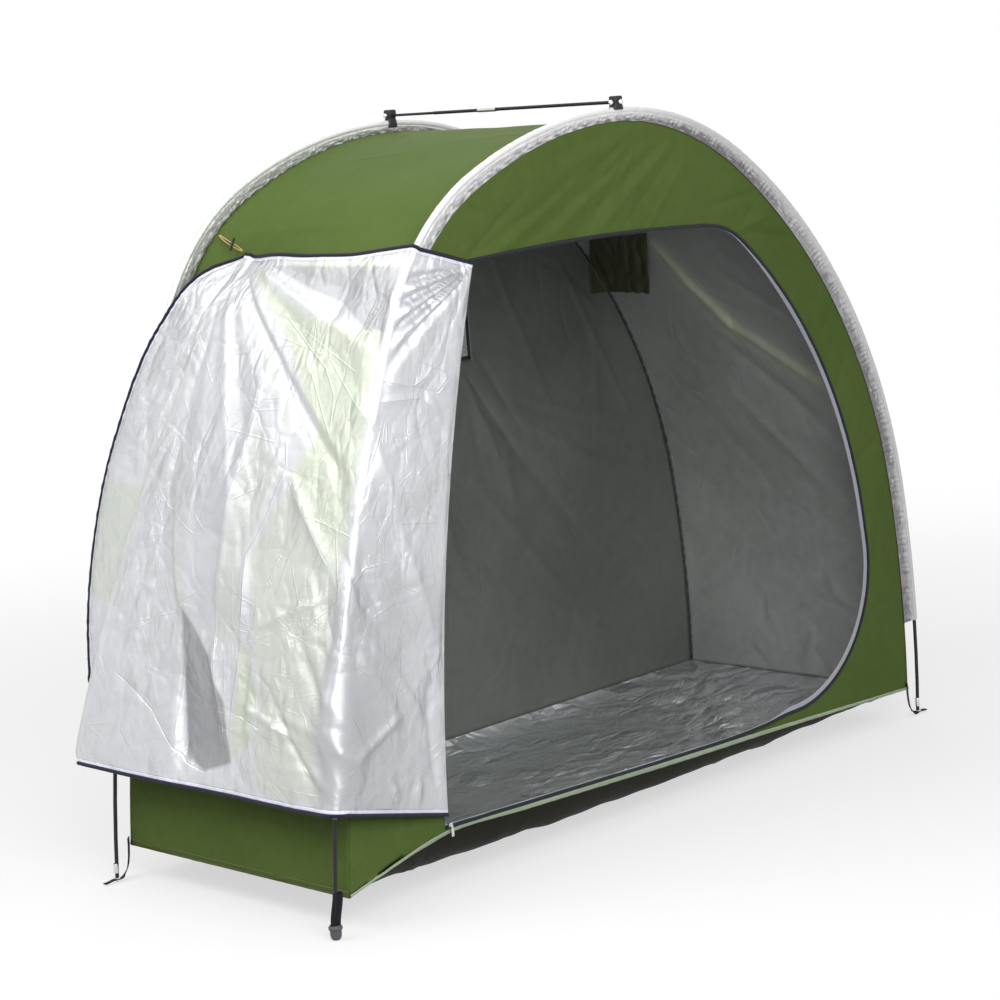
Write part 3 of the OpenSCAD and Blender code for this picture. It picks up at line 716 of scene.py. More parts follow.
def sill_z(x):
    """Height of the door sill, just over the hem."""
    return through(x, [-0.75, -0.45, -0.20, 0.10, 0.30, 0.55, 0.80], [0.159, 0.147, 0.137, 0.126, 0.121, 0.130, 0.14])


def top_z(x):
    """Height of the door's top edge, a little crowned."""
    return DOOR_TOP + 0.013 * np.sin(np.pi * np.clip((x + 0.506) / 0.84, 0, 1))


def fold_x(z):
    """The fold line: straight from sill to top, bowed to the front by a parabola."""
    q = (z - DOOR_SILL) / (DOOR_TOP - DOOR_SILL)
    return FOLD_LOW_X + (FOLD_TOP_X - FOLD_LOW_X) * q - FOLD_BOW * 4 * q * (1 - q)


def door_sides(count):
    """The door opening's edge in four runs, each evenly spaced: fold line up, top to the rear corner, rear edge down to
    the lower corner, sill to the front. The rear edge follows the pole, its two corners are arcs."""
    s_top = run_at(REAR, DOOR_TOP - DOOR_TOP_R, DOOR_INSET + DOOR_TOP_R)
    s_low = run_at(REAR, DOOR_SILL + DOOR_LOW_R, DOOR_INSET + DOOR_LOW_R)

    def corner(s, r, end):
        """Arc that leaves the rear edge at run s and turns to a heading."""
        p, n = half_at(REAR, np.array(s))
        centre = p - (DOOR_INSET + r) * n
        a = np.linspace(np.arctan2(n[1], n[0]), end, 40)
        return centre + r * np.stack([np.cos(a), np.sin(a)], 1)

    upper, lower = corner(s_top, DOOR_TOP_R, np.pi / 2)[::-1], corner(s_low, DOOR_LOW_R, -np.pi / 2)
    p, n = half_at(REAR, np.linspace(s_top, s_low, 120))
    rear = np.concatenate([upper[20:-1], p - DOOR_INSET * n, lower[1:]])
    z = np.linspace(sill_z(np.array(FOLD_LOW_X)), DOOR_TOP, 120)
    fold = np.stack([fold_x(z), z], 1)
    x = np.linspace(fold[-1, 0], upper[0, 0], 120)
    top = np.concatenate([np.stack([x, top_z(x)], 1), upper[1:21]])
    x = np.linspace(lower[-1, 0], fold[0, 0], 120)
    low = np.stack([x, DOOR_SILL + (sill_z(x) - DOOR_SILL) * ease((lower[-1, 0] - x) / 0.12)], 1)
    return [spaced(run, c) for run, c in zip((fold, top, rear, low), count)]


def wall_sides(count, hem):
    """The wall's outer edge in four runs that answer the door's: front leg, crown, rear leg and hem."""
    turn_f, turn_r = run_at(FRONT, 1.40, SLEEVE_W), ARCH_RUN - run_at(REAR, 1.33, SLEEVE_W)
    runs = [np.linspace(FRONT_SEAM, turn_f, count[0]), np.linspace(turn_f, turn_r, count[1]),
            np.linspace(turn_r, REAR_SEAM, count[2])]
    sides = []
    for s in runs:
        p, n = arch(s)
        sides.append(p - seam_in(s)[:, None] * n)
    x = np.linspace(REAR_HEM_X, FRONT_HEM_X, count[3])
    sides.append(np.stack([x, hem(x)], 1))
    return sides


def band_between(outer, inner, count, y, lift, toward, material=0):
    """Ruled cloth between two closed edges, as one grid round the opening; lift moves it across its plane and fades
    to zero on the outer edge."""
    a, b = (np.concatenate([side[:-1] for side in edge]) for edge in (outer, inner))
    q = np.linspace(0, 1, count)[None, :, None]
    flat = a[:, None] * (1 - q) + b[:, None] * q
    x, z = flat[..., 0], flat[..., 1]
    out = lift(x, z, q[..., 0])
    points = np.stack([x, y + out, z], -1)
    return patch(points, uv=flat, toward=toward, material=material, closed=True)


# Cloth pieces

REAR_FOLDS = np.array([(2.93, 0.475, 3.14, 0.430, -0.006, 0.010), (3.08, 0.445, 3.28, 0.350, -0.009, 0.010),
                       (3.22, 0.395, 3.47, 0.110, -0.009, 0.010), (3.05, 0.330, 3.32, 0.080, 0.005, 0.016),
                       (3.30, 0.420, 3.62, 0.120, 0.006, 0.018), (3.45, 0.470, 3.80, 0.160, -0.005, 0.014)])


def make_canopy():
    """One length of cloth over both arches: set in from the poles by the sleeve's width, sagging between them, with
    puckers along the two seams and stray folds."""
    ns, ny = 430, 74
    s = np.linspace(FRONT_SEAM, REAR_SEAM, ns)[:, None]
    v = np.linspace(0, 1, ny)[None, :]
    y = NEAR_Y + 0.0015 + (WIDTH - 0.003) * v
    across = WIDTH * v
    seam = np.minimum(v, 1 - v) * WIDTH
    low = np.minimum(s - FRONT_SEAM, REAR_SEAM - s)
    sag = (0.003 + 0.22 * (seam_in(s) - 0.02)) * np.sin(np.pi * v) * ease(low / 0.5)
    pucker = 0.0016 * np.exp(-seam / 0.022) * np.sin(2 * np.pi * s / 0.031 + 2.0 * swell(s, across, 3, 0.3))
    lines = np.concatenate([
        stray_lines(11, 60, (s[0, 0], s[-1, 0], 0, WIDTH), (0.12, 0.5), (0.0008, 0.0026), (0.006, 0.016)),
        stray_lines(12, 16, (s[0, 0], s[-1, 0], 0.1, 0.64), (0.4, 0.8), (0.0012, 0.0030), (0.010, 0.022), np.pi / 2),
        stray_lines(13, 34, (REAR_SEAM - 0.30, REAR_SEAM - 0.02, 0.04, 0.50), (0.05, 0.18), (0.0020, 0.0050),
                    (0.005, 0.010)),
        REAR_FOLDS])
    folds = (creases(s, across, lines) + 0.0016 * swell(s, across, 5, 0.35)) * ease(seam / 0.05)
    points = on_arch(s + 0 * v, -seam_in(s) - sag + pucker + folds, y)
    uv = stacked(s, across)
    # Painted highlight: the lining's pale green tint along the first three rear folds.
    painted_fold_highlight = creases(s, across, REAR_FOLDS[:3] * [1, 1, 1, 1, 0, 1] + [0, 0, 0, 0, 0.9, 0.018])
    obj = piece("canopy", [patch(points, uv, toward=(0, 0, 1), tint=painted_fold_highlight)], [GREEN, LINING],
                ("canopy_front", "canopy_front_shoulder", "canopy_front_crown", "canopy_rear_crown",
                 "canopy_rear_shoulder", "canopy_rear"), solid=0.0012)


def wall_waves(seed, fan_at, pulls):
    """Cloth moved across a wall: slow waves, stray folds, given pulls and a fan of folds that hang from one point."""
    lines = np.concatenate([pulls, stray_lines(seed, 46, (-0.95, 0.95, 0.15, 1.55), (0.10, 0.40), (0.0008, 0.0026),
                                               (0.006, 0.014))])
    rng = np.random.default_rng(seed + 1)
    rays = [(a, h, 2.2, 0.03, e) for a, h, e in zip(np.linspace(-80, 80, 19) + rng.normal(0, 2.5, 19),
                                                    rng.uniform(0.0006, 0.0016, 19) * np.resize([1, -1], 19),
                                                    rng.uniform(0.25, 0.75, 19))]

    def lift(x, z, q):
        """Moves at x and z; q runs from the outer edge, which stays, to the opening."""
        waves = 0.0016 * swell(x, z, seed + 2, 0.4) + creases(x, z, lines) + fan(x, z, fan_at, rays)
        return waves * ease(q / 0.25)

    return lift


def make_near_wall():
    """Door-side wall: one piece of cloth round the door opening, from the sleeve seam and the hem to the zip."""
    count = (110, 190, 170, 200)
    pulls = [(0.10, 1.60, -0.50, 1.360, 0.0034, 0.010), (0.05, 1.60, -0.46, 1.340, -0.0034, 0.010),
             (0.12, 1.58, -0.40, 1.345, 0.0030, 0.010),
             (0.14, 1.59, -0.33, 1.340, -0.0030, 0.010), (0.18, 1.58, -0.24, 1.340, 0.0030, 0.010),
             (0.20, 1.57, -0.15, 1.340, -0.0028, 0.010),
             (0.22, 1.56, -0.05, 1.340, 0.0026, 0.010), (0.26, 1.55, 0.06, 1.345, -0.0024, 0.010),
             (-0.30, 1.50, -0.53, 1.350, 0.0030, 0.008),
             (0.50, 1.42, 0.30, 1.40, 0.0030, 0.010), (0.56, 1.37, 0.40, 1.33, -0.0030, 0.010),
             (0.62, 1.30, 0.44, 1.33, 0.0030, 0.010),
             (0.80, 0.98, 0.72, 0.80, 0.0030, 0.010), (0.86, 0.86, 0.78, 0.60, -0.0030, 0.012),
             (0.93, 0.60, 0.84, 0.30, 0.0030, 0.014)]
    waves = wall_waves(31, (0.10, 1.62), pulls)
    grid = band_between(wall_sides(count, near_hem_z), door_sides(count), 30, NEAR_Y, waves, (0, -1, 0))
    obj = piece("near_wall", [grid], [GREEN, LINING],
                ("near_wall_front", "near_wall_top", "near_wall_rear", "near_sill"), solid=0.0012)


def make_far_wall():
    """Far wall: one piece of cloth with a window opening, pulled flat between the sleeve seam and the hem."""
    count = (90, 150, 110, 150)
    x0, x1, z0, z1 = WINDOW
    corners = np.array([[x0, z0], [x0, z1], [x1, z1], [x1, z0], [x0, z0]])
    window = [np.linspace(corners[i], corners[i + 1], count[i]) for i in range(4)]
    pulls = stray_lines(46, 26, (-0.8, 0.8, 0.2, 1.45), (0.35, 0.9), (0.0020, 0.0050), (0.010, 0.022), 2.3)
    waves = wall_waves(47, (0.0, 1.62), pulls)

    def lift(x, z, q):
        """The same moves, still at the window's edge too."""
        return waves(x, z, q) * (1 - ease((q - 0.86) / 0.14))

    grid = band_between(wall_sides(count, lambda x: HEM_Z + 0 * x), window, 64, FAR_Y, lift, (0, 1, 0))
    obj = piece("far_wall_cloth", [grid], [GREEN, FAR_LINING], ("far_wall",), solid=0.0012)
    x, z = np.linspace(x0 - 0.004, x1 + 0.004, 40)[:, None], np.linspace(z0 - 0.004, z1 + 0.004, 26)[None, :]
    belly = 0.004 * np.sin(np.pi * (x - x0) / (x1 - x0)) * np.sin(np.pi * (z - z0) / (z1 - z0))
    points = stacked(x, FAR_Y - 0.0008 + belly, z)
    netting = piece("window_netting", [patch(points, toward=(0, 1, 0))], [NETTING], ("window_mesh",))
    strips = []
    for a, b in zip(corners[:-1], corners[1:]):
        way = unit(b - a)
        path = np.linspace(a - 0.004 * way, b + 0.004 * way, 60)
        path = np.stack([path[:, 0], np.full(60, FAR_Y - 0.0012), path[:, 1]], 1)
        for side in (-1, 1):
            face = np.array([[-0.004, 0.0006], [-0.003, 0.0016], [0.003, 0.0016], [0.004, 0.0006]])
            face[:, 1] = face[:, 1] * side - (0.0 if side < 0 else -0.0006)
            strips.append(patch(sweep(path, face[:, ::-1], (0, 1, 0))))
    tape = piece("window_tape", strips, [DARK_TAPE], ("window_frame",))


def make_floor():
    """Ground sheet: hangs from the hems as a shallow trough with steep sides, crumpled all over."""
    nx, ny = 210, 84
    q = np.linspace(0, 1, nx)[:, None]
    bend = np.linspace(-1, 1, ny)[None, :]
    v = 0.5 + 0.5 * np.sin(bend * np.pi / 2)
    x = FRONT_HEM_X + 0.001 + (REAR_HEM_X - FRONT_HEM_X - 0.002) * q
    y = NEAR_Y + 0.0008 + (WIDTH - 0.0016) * v
    rim = near_hem_z(x) * (1 - v) + HEM_Z * v
    depth = 1 - np.abs(2 * v - 1) ** 14
    base = HEM_Z - FLOOR_SAG * (4 * q * (1 - q)) ** 0.8
    z = rim + (base - rim) * depth
    lines = np.concatenate([
        stray_lines(61, 90, (-0.95, 0.95, NEAR_Y, FAR_Y), (0.10, 0.40), (0.0008, 0.0030), (0.006, 0.018)),
        stray_lines(62, 60, (0.40, 0.98, NEAR_Y, FAR_Y), (0.06, 0.26), (0.003, 0.008), (0.006, 0.013)),
        stray_lines(64, 40, (-0.80, -0.25, NEAR_Y, FAR_Y), (0.06, 0.26), (0.002, 0.005), (0.006, 0.013))])
    z = z + (creases(x, y, lines) + 0.0025 * swell(x, y, 63, 0.16)) * depth * ease(np.minimum(q, 1 - q) / 0.04)
    points = stacked(x, y, z)
    obj = piece("ground_sheet", [patch(points, stacked(x, y), toward=(0, 0, -1))],
                [GROUND_BLACK, GROUND_SILVER], ("floor",), solid=0.0014)


def make_sleeve(name, y, node, seed):
    """Pole sleeve: a strip folded round the pole, its two edges sewn in at the canopy seam, gathered along its length
    so that small folds run across it and are sharpest at the seam."""
    s0, s1 = run_at(FRONT, SLEEVE_END, 0.0), ARCH_RUN - run_at(REAR, SLEEVE_END, 0.0)
    s = np.linspace(s0, s1, 1900)[:, None]
    t = np.linspace(0, 1, 10)[None, :]
    flat = -(seam_in(s) + 0.0028) * (1 - t) - 0.0072 * t
    half = 0.0019 + 0.0044 * ease((flat + 0.022) / 0.017)
    a = np.linspace(np.pi * 0.78, 0, 10)[None, :]
    out = np.concatenate([flat, SLEEVE_R * np.cos(a) + 0 * s], 1)
    side = np.concatenate([half, SLEEVE_R * np.sin(a) + 0 * s], 1)
    flange = np.concatenate([1 - t, 0 * a], 1)
    out, side = np.concatenate([out, out[:, -2::-1]], 1), np.concatenate([-side, side[:, -2::-1]], 1)
    flange = np.concatenate([flange, flange[:, -2::-1]], 1)
    hand = np.sign(np.arange(out.shape[1]) - out.shape[1] // 2)[None, :]
    run = np.cumsum(np.hypot(np.diff(out, axis=1, prepend=out[:, :1]), np.diff(side, axis=1, prepend=side[:, :1])), 1)
    slant = s + 0.25 * flange * seam_in(s)
    beat = np.sin(2 * np.pi * slant / 0.0160 + 2.6 * swell(s, 0.4 * hand + 0 * s, seed, 0.10))
    strong = 0.0020 + 0.0020 * ease((s - 2.2) / 0.5)
    gather = strong * beat * flange ** 0.5 * (0.6 + 0.5 * swell(s, hand + 0 * s, seed + 3, 0.07))
    folds = (0.0012 * swell(s, 5 * out + hand, seed + 1, 0.05) + 0.0009 * swell(s, 3 * out + hand, seed + 2,
                                                                                0.12)) * (flange > 0)
    tube = 0.0003 * swell(s, 20 * side, seed + 4, 0.03) * (flange == 0)
    lift = np.maximum(gather + folds, -0.0014) * np.sin(np.pi * np.clip(1.15 * flange + 0.02, 0, 1)) ** 0.4
    p, n = arch(s[:, 0])
    o = out * (1 + np.where(flange == 0, tube / SLEEVE_R, 0))
    w = side + lift * hand
    points = np.stack([p[:, :1] + o * n[:, :1], y + w, p[:, 1:] + o * n[:, 1:]], -1)
    # Painted shade: the tint darkens the gathered flange, and the whole sleeve more and more towards the rear, away
    # from the light.
    shadow = flange * (0.80 + 0.5 * swell(s, 6 * out + hand, seed + 5, 0.05))
    painted_rear_shade = 0.75 * ease((s - 2.1) / 0.4) * (0.4 + 0.6 * flange)
    shade = np.clip(shadow + painted_rear_shade, 0, 1)
    obj = piece(name, [patch(points, stacked(s, run), tint=shade)], [SLEEVE_SILVER], (node,))


# The door flap: its pinned corner (y, z), and the heights and places of its slanting crease and of its free edge.
PIN = (0.122, 1.398)
CREASE_Z = [0.262, 0.284, 0.463, 0.632, 0.781, 0.865, 0.995, 1.158, 1.300, 1.402]
CREASE_Y = [0.384, 0.379, 0.346, 0.314, 0.282, 0.258, 0.214, 0.166, 0.135, 0.122]
EDGE_Z = [0.262, 0.40, 0.429, 0.516, 0.626, 0.737, 0.827, 0.917, 1.007, 1.096, 1.184, 1.272, 1.330, 1.368, 1.402]
EDGE_Y = [0.384, 0.366, 0.372, 0.400, 0.432, 0.449, 0.447, 0.430, 0.400, 0.371, 0.335, 0.283, 0.243, 0.196, 0.124]

# Pressed creases on the flap's front sheet (y, z) and on its side strip (x, z), in sets whose lines don't meet.
FRONT_LINES = {
    "line_a": [[(-0.140, 1.256), (-0.289, 1.161), (-0.329, 1.108), (-0.341, 1.018)],
               [(-0.422, 1.319), (-0.376, 1.229)], [(-0.393, 1.329), (-0.361, 1.209)],
               [(-0.107, 1.156), (-0.104, 1.080), (-0.091, 1.007), (-0.071, 0.902), (-0.057, 0.807), (-0.058, 0.692),
                (-0.062, 0.587), (-0.083, 0.483), (-0.122, 0.338)],
               [(-0.243, 0.932), (-0.313, 0.855), (-0.385, 0.769)], [(0.230, 0.600), (0.060, 0.640)]],
    "line_b": [[(-0.229, 1.267), (-0.233, 1.196)], [(-0.213, 1.084), (-0.246, 1.156), (-0.340, 1.024)],
               [(-0.081, 0.888), (-0.156, 0.917)],
               [(-0.214, 1.012), (-0.227, 0.960), (-0.186, 0.857), (-0.140, 0.775), (-0.149, 0.679), (-0.148, 0.595),
                (-0.131, 0.467), (-0.128, 0.350)],
               [(-0.308, 0.849), (-0.271, 0.781), (-0.247, 0.697)], [(0.290, 0.560), (0.150, 0.610)]],
    "line_c": [[(-0.352, 1.209), (-0.349, 1.148), (-0.338, 1.088), (-0.338, 1.018)],
               [(0.255, 0.494), (0.125, 0.421), (0.058, 0.348), (0.022, 0.315), (-0.036, 0.303), (-0.093, 0.317),
                (-0.119, 0.338)], [(-0.140, 0.440), (-0.230, 0.420)]]}
SIDE_LINES = {
    "line_a": [[(-0.861, 1.156), (-0.716, 1.114), (-0.661, 1.132)],
               [(-1.003, 0.684), (-0.953, 0.709), (-0.913, 0.739), (-0.891, 0.760), (-0.825, 0.759)],
               [(-0.782, 0.834), (-0.674, 0.819)], [(-1.062, 0.308), (-0.993, 0.354)]],
    "line_b": [[(-0.875, 1.099), (-0.696, 1.088), (-0.636, 1.032)], [(-0.750, 0.868), (-0.674, 0.830)],
               [(-0.690, 1.165), (-0.610, 1.130)]],
    "line_c": [[(-0.716, 1.114), (-0.642, 1.093), (-0.603, 1.122)],
               [(-1.026, 0.626), (-1.027, 0.542), (-0.980, 0.468), (-0.958, 0.410)]]}

# Areas of the flap (y, z) with their strengths: green where the outer green shows through, and grey that paints shade,
# in the wedge of the low fold, on the top facet that faces the lamps and in the smaller grey areas.
TONES = {
    "green": {"front": [
        (0.80, [(0.050, 1.370), (-0.202, 1.262), (-0.430, 1.236), (-0.434, 1.000), (-0.420, 0.740), (-0.243, 0.932),
                (-0.300, 1.040), (-0.154, 1.215)]),
        (0.40, [(0.060, 1.365), (-0.135, 1.174), (-0.225, 1.020), (-0.100, 1.160)]),
        (0.75, [(-0.150, 0.600), (-0.126, 0.345), (-0.199, 0.391), (-0.213, 0.497)]),
        (0.55, [(0.148, 0.945), (0.125, 0.827), (0.042, 0.600), (0.026, 0.600), (0.105, 0.827)]),
        (0.50, [(-0.243, 0.920), (-0.430, 0.740), (-0.430, 0.290), (-0.215, 0.290), (-0.220, 0.497),
                (-0.147, 0.770)]),
        (0.30, [(-0.100, 1.050), (-0.061, 0.692), (-0.065, 0.587), (-0.141, 0.595), (-0.134, 0.775),
                (-0.220, 0.960)])],
        "free": [(0.45, [(0.460, 0.880), (0.220, 0.900), (0.260, 0.620), (0.450, 0.640)])]},
    "grey": {"front": [
        (0.80, [(0.050, 0.650), (0.038, 0.450), (0.030, 0.325), (-0.040, 0.306), (-0.132, 0.335), (-0.104, 0.462),
                (-0.045, 0.555)]),
        (0.50, [(-0.010, 1.366), (-0.283, 1.290), (-0.375, 1.240), (-0.434, 1.236), (-0.434, 1.366)]),
        (0.16, [(-0.015, 1.234), (-0.013, 0.962), (0.038, 0.811), (-0.052, 0.807), (-0.100, 1.120)])],
        "free": [(0.25, [(0.300, 1.300), (0.240, 1.330), (0.160, 1.200), (0.200, 1.120)])]}}


def regions(u, v, shapes):
    """Signed distance into the nearest of several many-sided areas, and that area's strength. A shape is (strength,
    corners); its inside is where a level line crosses the outline an odd number of times."""
    best, share = np.full(u.shape, -1.0), np.zeros(u.shape)
    for strength, corners in shapes:
        inside, gap = np.zeros(u.shape, bool), np.full(u.shape, 9.0)
        for (u0, v0), (u1, v1) in zip(corners, corners[1:] + corners[:1]):
            du, dv = u1 - u0, v1 - v0
            t = np.clip(((u - u0) * du + (v - v0) * dv) / (du * du + dv * dv), 0, 1)
            gap = np.minimum(gap, np.hypot(u - u0 - t * du, v - v0 - t * dv))
            if dv:
                inside ^= ((v0 > v) != (v1 > v)) & (u < u0 + (v - v0) * du / dv)
        signed = np.where(inside, gap, -gap)
        nearer = signed > best
        best[nearer], share[nearer] = signed[nearer], strength
    return best, share


def line_field(u, v, runs):
    """Signed distance to the nearest of several runs of places, up to 14 mm away from them, and 1 m elsewhere."""
    field = np.ones(u.shape)
    for run in runs:
        for (u0, v0), (u1, v1) in zip(run[:-1], run[1:]):
            du, dv = u1 - u0, v1 - v0
            along = ((u - u0) * du + (v - v0) * dv) / (du * du + dv * dv)
            off = ((u - u0) * dv - (v - v0) * du) / np.hypot(du, dv)
            near = (np.abs(off) < 0.014) & (np.abs(along - 0.5) < 0.52) & (np.abs(off) < np.abs(field))
            field[near] = off[near]
    return field


def flap_rows(count):
    """Heights of the flap's rows at the hinge, on the near pole and at the crease, from the bottom edge to the top."""
    w = np.linspace(0, 1, count)
    return w, 0.183 + (DOOR_TOP - 0.183) * w, 0.266 + (1.397 - 0.266) * w, 0.270 + (1.398 - 0.270) * w


def flap_grid():
    """The folded door flap as one grid, row by row: a lip at the hinge, a strip along the side, a turn round the pole,
    the loose front sheet that hangs from the pin, a pleat turned under at the crease, and the crescent of the free
    edge. Folds move it out of the arch on the front and out of the wall on the side."""
    w, z_hinge, z_pole, z_crease = (k[:, None] for k in flap_rows(200))
    wrap, loose = 0.0125, 0.026 * ease((0.85 - z_pole) / 0.4)
    p_pole, n_pole = half_at(FRONT, run_at(FRONT, z_pole[:, 0], 0.0))
    p_pole, n_pole = p_pole * [-1, 1], n_pole * [-1, 1]
    crossing = stray_lines(74, 16, (-0.14, 0.10, 0.27, 0.80), (0.12, 0.26), (0.004, 0.009), (0.012, 0.024), 0.9)

    def slack(from_pole, z):
        """Soft folds low down that run across the turn at the pole; from_pole is the way round from it."""
        fade = ease((0.86 - z) / 0.16) * ease((z - 0.262) / 0.04) * ease((0.20 - np.abs(from_pole)) / 0.10)
        return creases(from_pole, z, crossing) * fade

    # Lip and side strip, in the plane of the door-side wall.
    a = np.linspace(0, np.pi, 7)[None, :-1]
    lip_x = fold_x(z_hinge) + 0.0045 * np.sin(a)
    lip = stacked(lip_x, NEAR_Y - 0.0015 - 0.0045 * (1 - np.cos(a)), z_hinge)
    q = np.linspace(0, 1, 50)[None, :]
    x = fold_x(z_hinge) * (1 - q) + p_pole[:, :1] * q
    z = z_hinge * (1 - q) + p_pole[:, 1:] * q
    lines = np.concatenate([
        [(-0.716, 1.114, -0.642, 1.093, -0.003, 0.007), (-0.642, 1.093, -0.603, 1.122, 0.003, 0.007),
         (-0.716, 1.114, -0.661, 1.132, 0.003, 0.007),
         (-0.861, 1.156, -0.716, 1.114, 0.005, 0.006), (-0.875, 1.099, -0.696, 1.088, 0.005, 0.006),
         (-0.667, 1.084, -0.636, 1.032, 0.005, 0.007),
         (-0.835, 1.020, -0.783, 0.821, 0.008, 0.020), (-0.783, 0.821, -0.715, 0.582, 0.008, 0.018),
         (-0.930, 0.910, -0.899, 0.758, -0.009, 0.016),
         (-0.899, 0.758, -0.861, 0.644, -0.008, 0.016), (-0.960, 0.769, -0.864, 0.613, -0.008, 0.014),
         (-1.004, 0.627, -0.917, 0.603, 0.006, 0.008),
         (-0.917, 0.603, -0.857, 0.547, 0.007, 0.010), (-0.857, 0.547, -0.756, 0.394, 0.009, 0.013),
         (-1.069, 0.348, -0.991, 0.371, 0.009, 0.009),
         (-0.991, 0.371, -0.825, 0.439, 0.011, 0.010), (-0.731, 0.487, -0.746, 0.403, -0.010, 0.012),
         (-0.746, 0.403, -0.733, 0.245, -0.010, 0.013),
         (-0.880, 0.300, -0.860, 0.250, 0.010, 0.010), (-0.790, 0.290, -0.800, 0.230, 0.008, 0.010)],
        stray_lines(71, 44, (-1.0, -0.56, 0.25, 1.10), (0.05, 0.16), (0.0012, 0.0030), (0.004, 0.007))])
    calm = ease(q / 0.10) * ease((1 - q) / 0.10)
    bulge = 0.006 * np.sin(np.pi * q) * np.sin(np.pi * w)
    tight = pleats(x, z, (fold_x(DOOR_TOP) + 0.006, 1.346), [20, 40, 54, 58, 63, 67, 72, 77, 82, 87, 92, 97],
                   0.022 * np.array([0, 0, 0.2, -0.5, 0.9, -0.8, 1.0, -0.9, 1.0, -0.8, 0.3, 0]), 0.07, 0.46)
    out = (creases(x, z, lines) + tight + 0.002 * swell(x, z, 72, 0.22)) * calm + bulge
    step = ease(q / 0.05)
    out = np.maximum(out, -0.006) + slack((fold_x(z_hinge) - p_pole[:, :1]) * (q - 1) - 0.03, z)
    side_y = NEAR_Y - 0.0105 * (1 - step) - wrap * step - loose * ease(q) - out
    side = stacked(x, side_y, z)
    # Turn round the pole.
    a = np.linspace(0, np.pi / 2, 9)[None, 1:-1]
    reach = wrap + loose + slack(0.06 * a / (np.pi / 2) - 0.03, p_pole[:, 1:])
    turn_x = p_pole[:, :1] + reach * np.sin(a) * n_pole[:, :1]
    turn_z = p_pole[:, 1:] + reach * np.sin(a) * n_pole[:, 1:]
    turn = stacked(turn_x, NEAR_Y - reach * np.cos(a), turn_z)

    def skin(y, z, out):
        """Points out of the front of the arch at y and z."""
        p, n = half_at(FRONT, run_at(FRONT, z, 0.0))
        return np.stack([-(p[..., 0] + out * n[..., 0]), y + 0 * z, p[..., 1] + out * n[..., 1]], -1)

    # Front sheet: pleats from the pin, a wedge and crossing folds lower down, crisp lines from packing.
    q = np.append(np.linspace(0, 0.990, 112), [0.9955, 1.0])[None, :]
    y_end = through(z_crease, CREASE_Z, CREASE_Y) - 0.016 * (1 - ease(w / 0.03)) ** 2
    y = NEAR_Y + (y_end - NEAR_Y) * q
    z = z_pole + (z_crease - z_pole) * q - 0.020 * np.sin(np.pi * q) * w ** 5 - 0.007 * np.sin(np.pi * q) * (1 - w) ** 3
    gathered = pleats(y, z, PIN, [-16, -8, -2, 6, 13, 20, 27, 36, 44, 48.4, 50.4, 56, 62, 69, 71.5, 78, 85, 92],
                      0.001 * np.array([4, 8, 4, 14, 12, 20, 7, 11, 4, -5, 9, 6, 1, 8, -6, -12, 4, 0]), 0.20, 0.95)
    lines = np.concatenate([
        [(-0.20, 0.62, -0.40, 0.70, 0.006, 0.009), (-0.15, 0.46, -0.38, 0.40, 0.008, 0.010),
         (-0.25, 0.50, -0.40, 0.33, -0.009, 0.009),
         (0.266, 0.487, 0.125, 0.421, -0.003, 0.008), (0.125, 0.421, 0.058, 0.348, -0.003, 0.009),
         (0.058, 0.348, -0.036, 0.303, -0.003, 0.010),
         (-0.107, 1.156, -0.071, 0.902, 0.005, 0.012), (-0.071, 0.902, -0.060, 0.640, 0.006, 0.012),
         (-0.214, 1.012, -0.140, 0.775, 0.005, 0.012),
         (-0.243, 0.932, -0.385, 0.769, 0.009, 0.014), (-0.140, 0.775, -0.148, 0.595, 0.007, 0.012),
         (-0.165, 0.600, -0.165, 0.350, -0.009, 0.018),
         (-0.06, 0.58, -0.105, 0.36, 0.010, 0.012), (0.20, 0.62, 0.27, 0.40, 0.004, 0.020),
         (-0.30, 0.47, -0.26, 0.36, 0.008, 0.012)],
        stray_lines(81, 40, (NEAR_Y, 0.36, 0.30, 1.20), (0.10, 0.30), (0.0006, 0.0014), (0.005, 0.008)),
        stray_lines(86, 26, (NEAR_Y, -0.14, 0.29, 0.50), (0.06, 0.16), (0.0012, 0.0026), (0.006, 0.010)),
        stray_lines(87, 22, (-0.38, -0.18, 0.59, 0.68), (0.03, 0.07), (0.0010, 0.0020), (0.005, 0.008)),
        stray_lines(88, 16, (0.10, 0.34, 0.52, 0.66), (0.05, 0.14), (0.0008, 0.0018), (0.005, 0.008), 0.3)])
    calm = ease(q / 0.06)
    left = through(z, [0.26, 0.45, 0.60, 0.70, 0.83, 0.945], [0.030, 0.038, 0.046, 0.079, 0.117, 0.140])
    right = through(z, [0.26, 0.338, 0.462, 0.542, 0.63], [-0.150, -0.134, -0.104, -0.048, 0.025])
    t = (left - y) / np.maximum(left - right, 0.01)
    drape = -0.026 * np.clip((0.64 - z) / 0.30, 0, 1) * ease((z - 0.270) / 0.10) * np.clip(1 - t, 0,
            1) * ease((t + 0.14) / 0.14)
    lip_over = ease((z - 0.60) / 0.08) * (1 - ease((z - 0.74) / 0.20))
    drape = drape + 0.010 * lip_over * ease((left - y + 0.012) / 0.012) * np.exp(-np.maximum(left - y, 0) / 0.06)
    folds = gathered + drape + creases(y, z, lines) + 0.0014 * swell(y, z, 82, 0.22)

    def sunk(y, z):
        """The cloth is drawn in towards the pin."""
        return -0.034 * np.exp(-((y - PIN[0]) ** 2 + (z - PIN[1]) ** 2) / 0.10 ** 2)

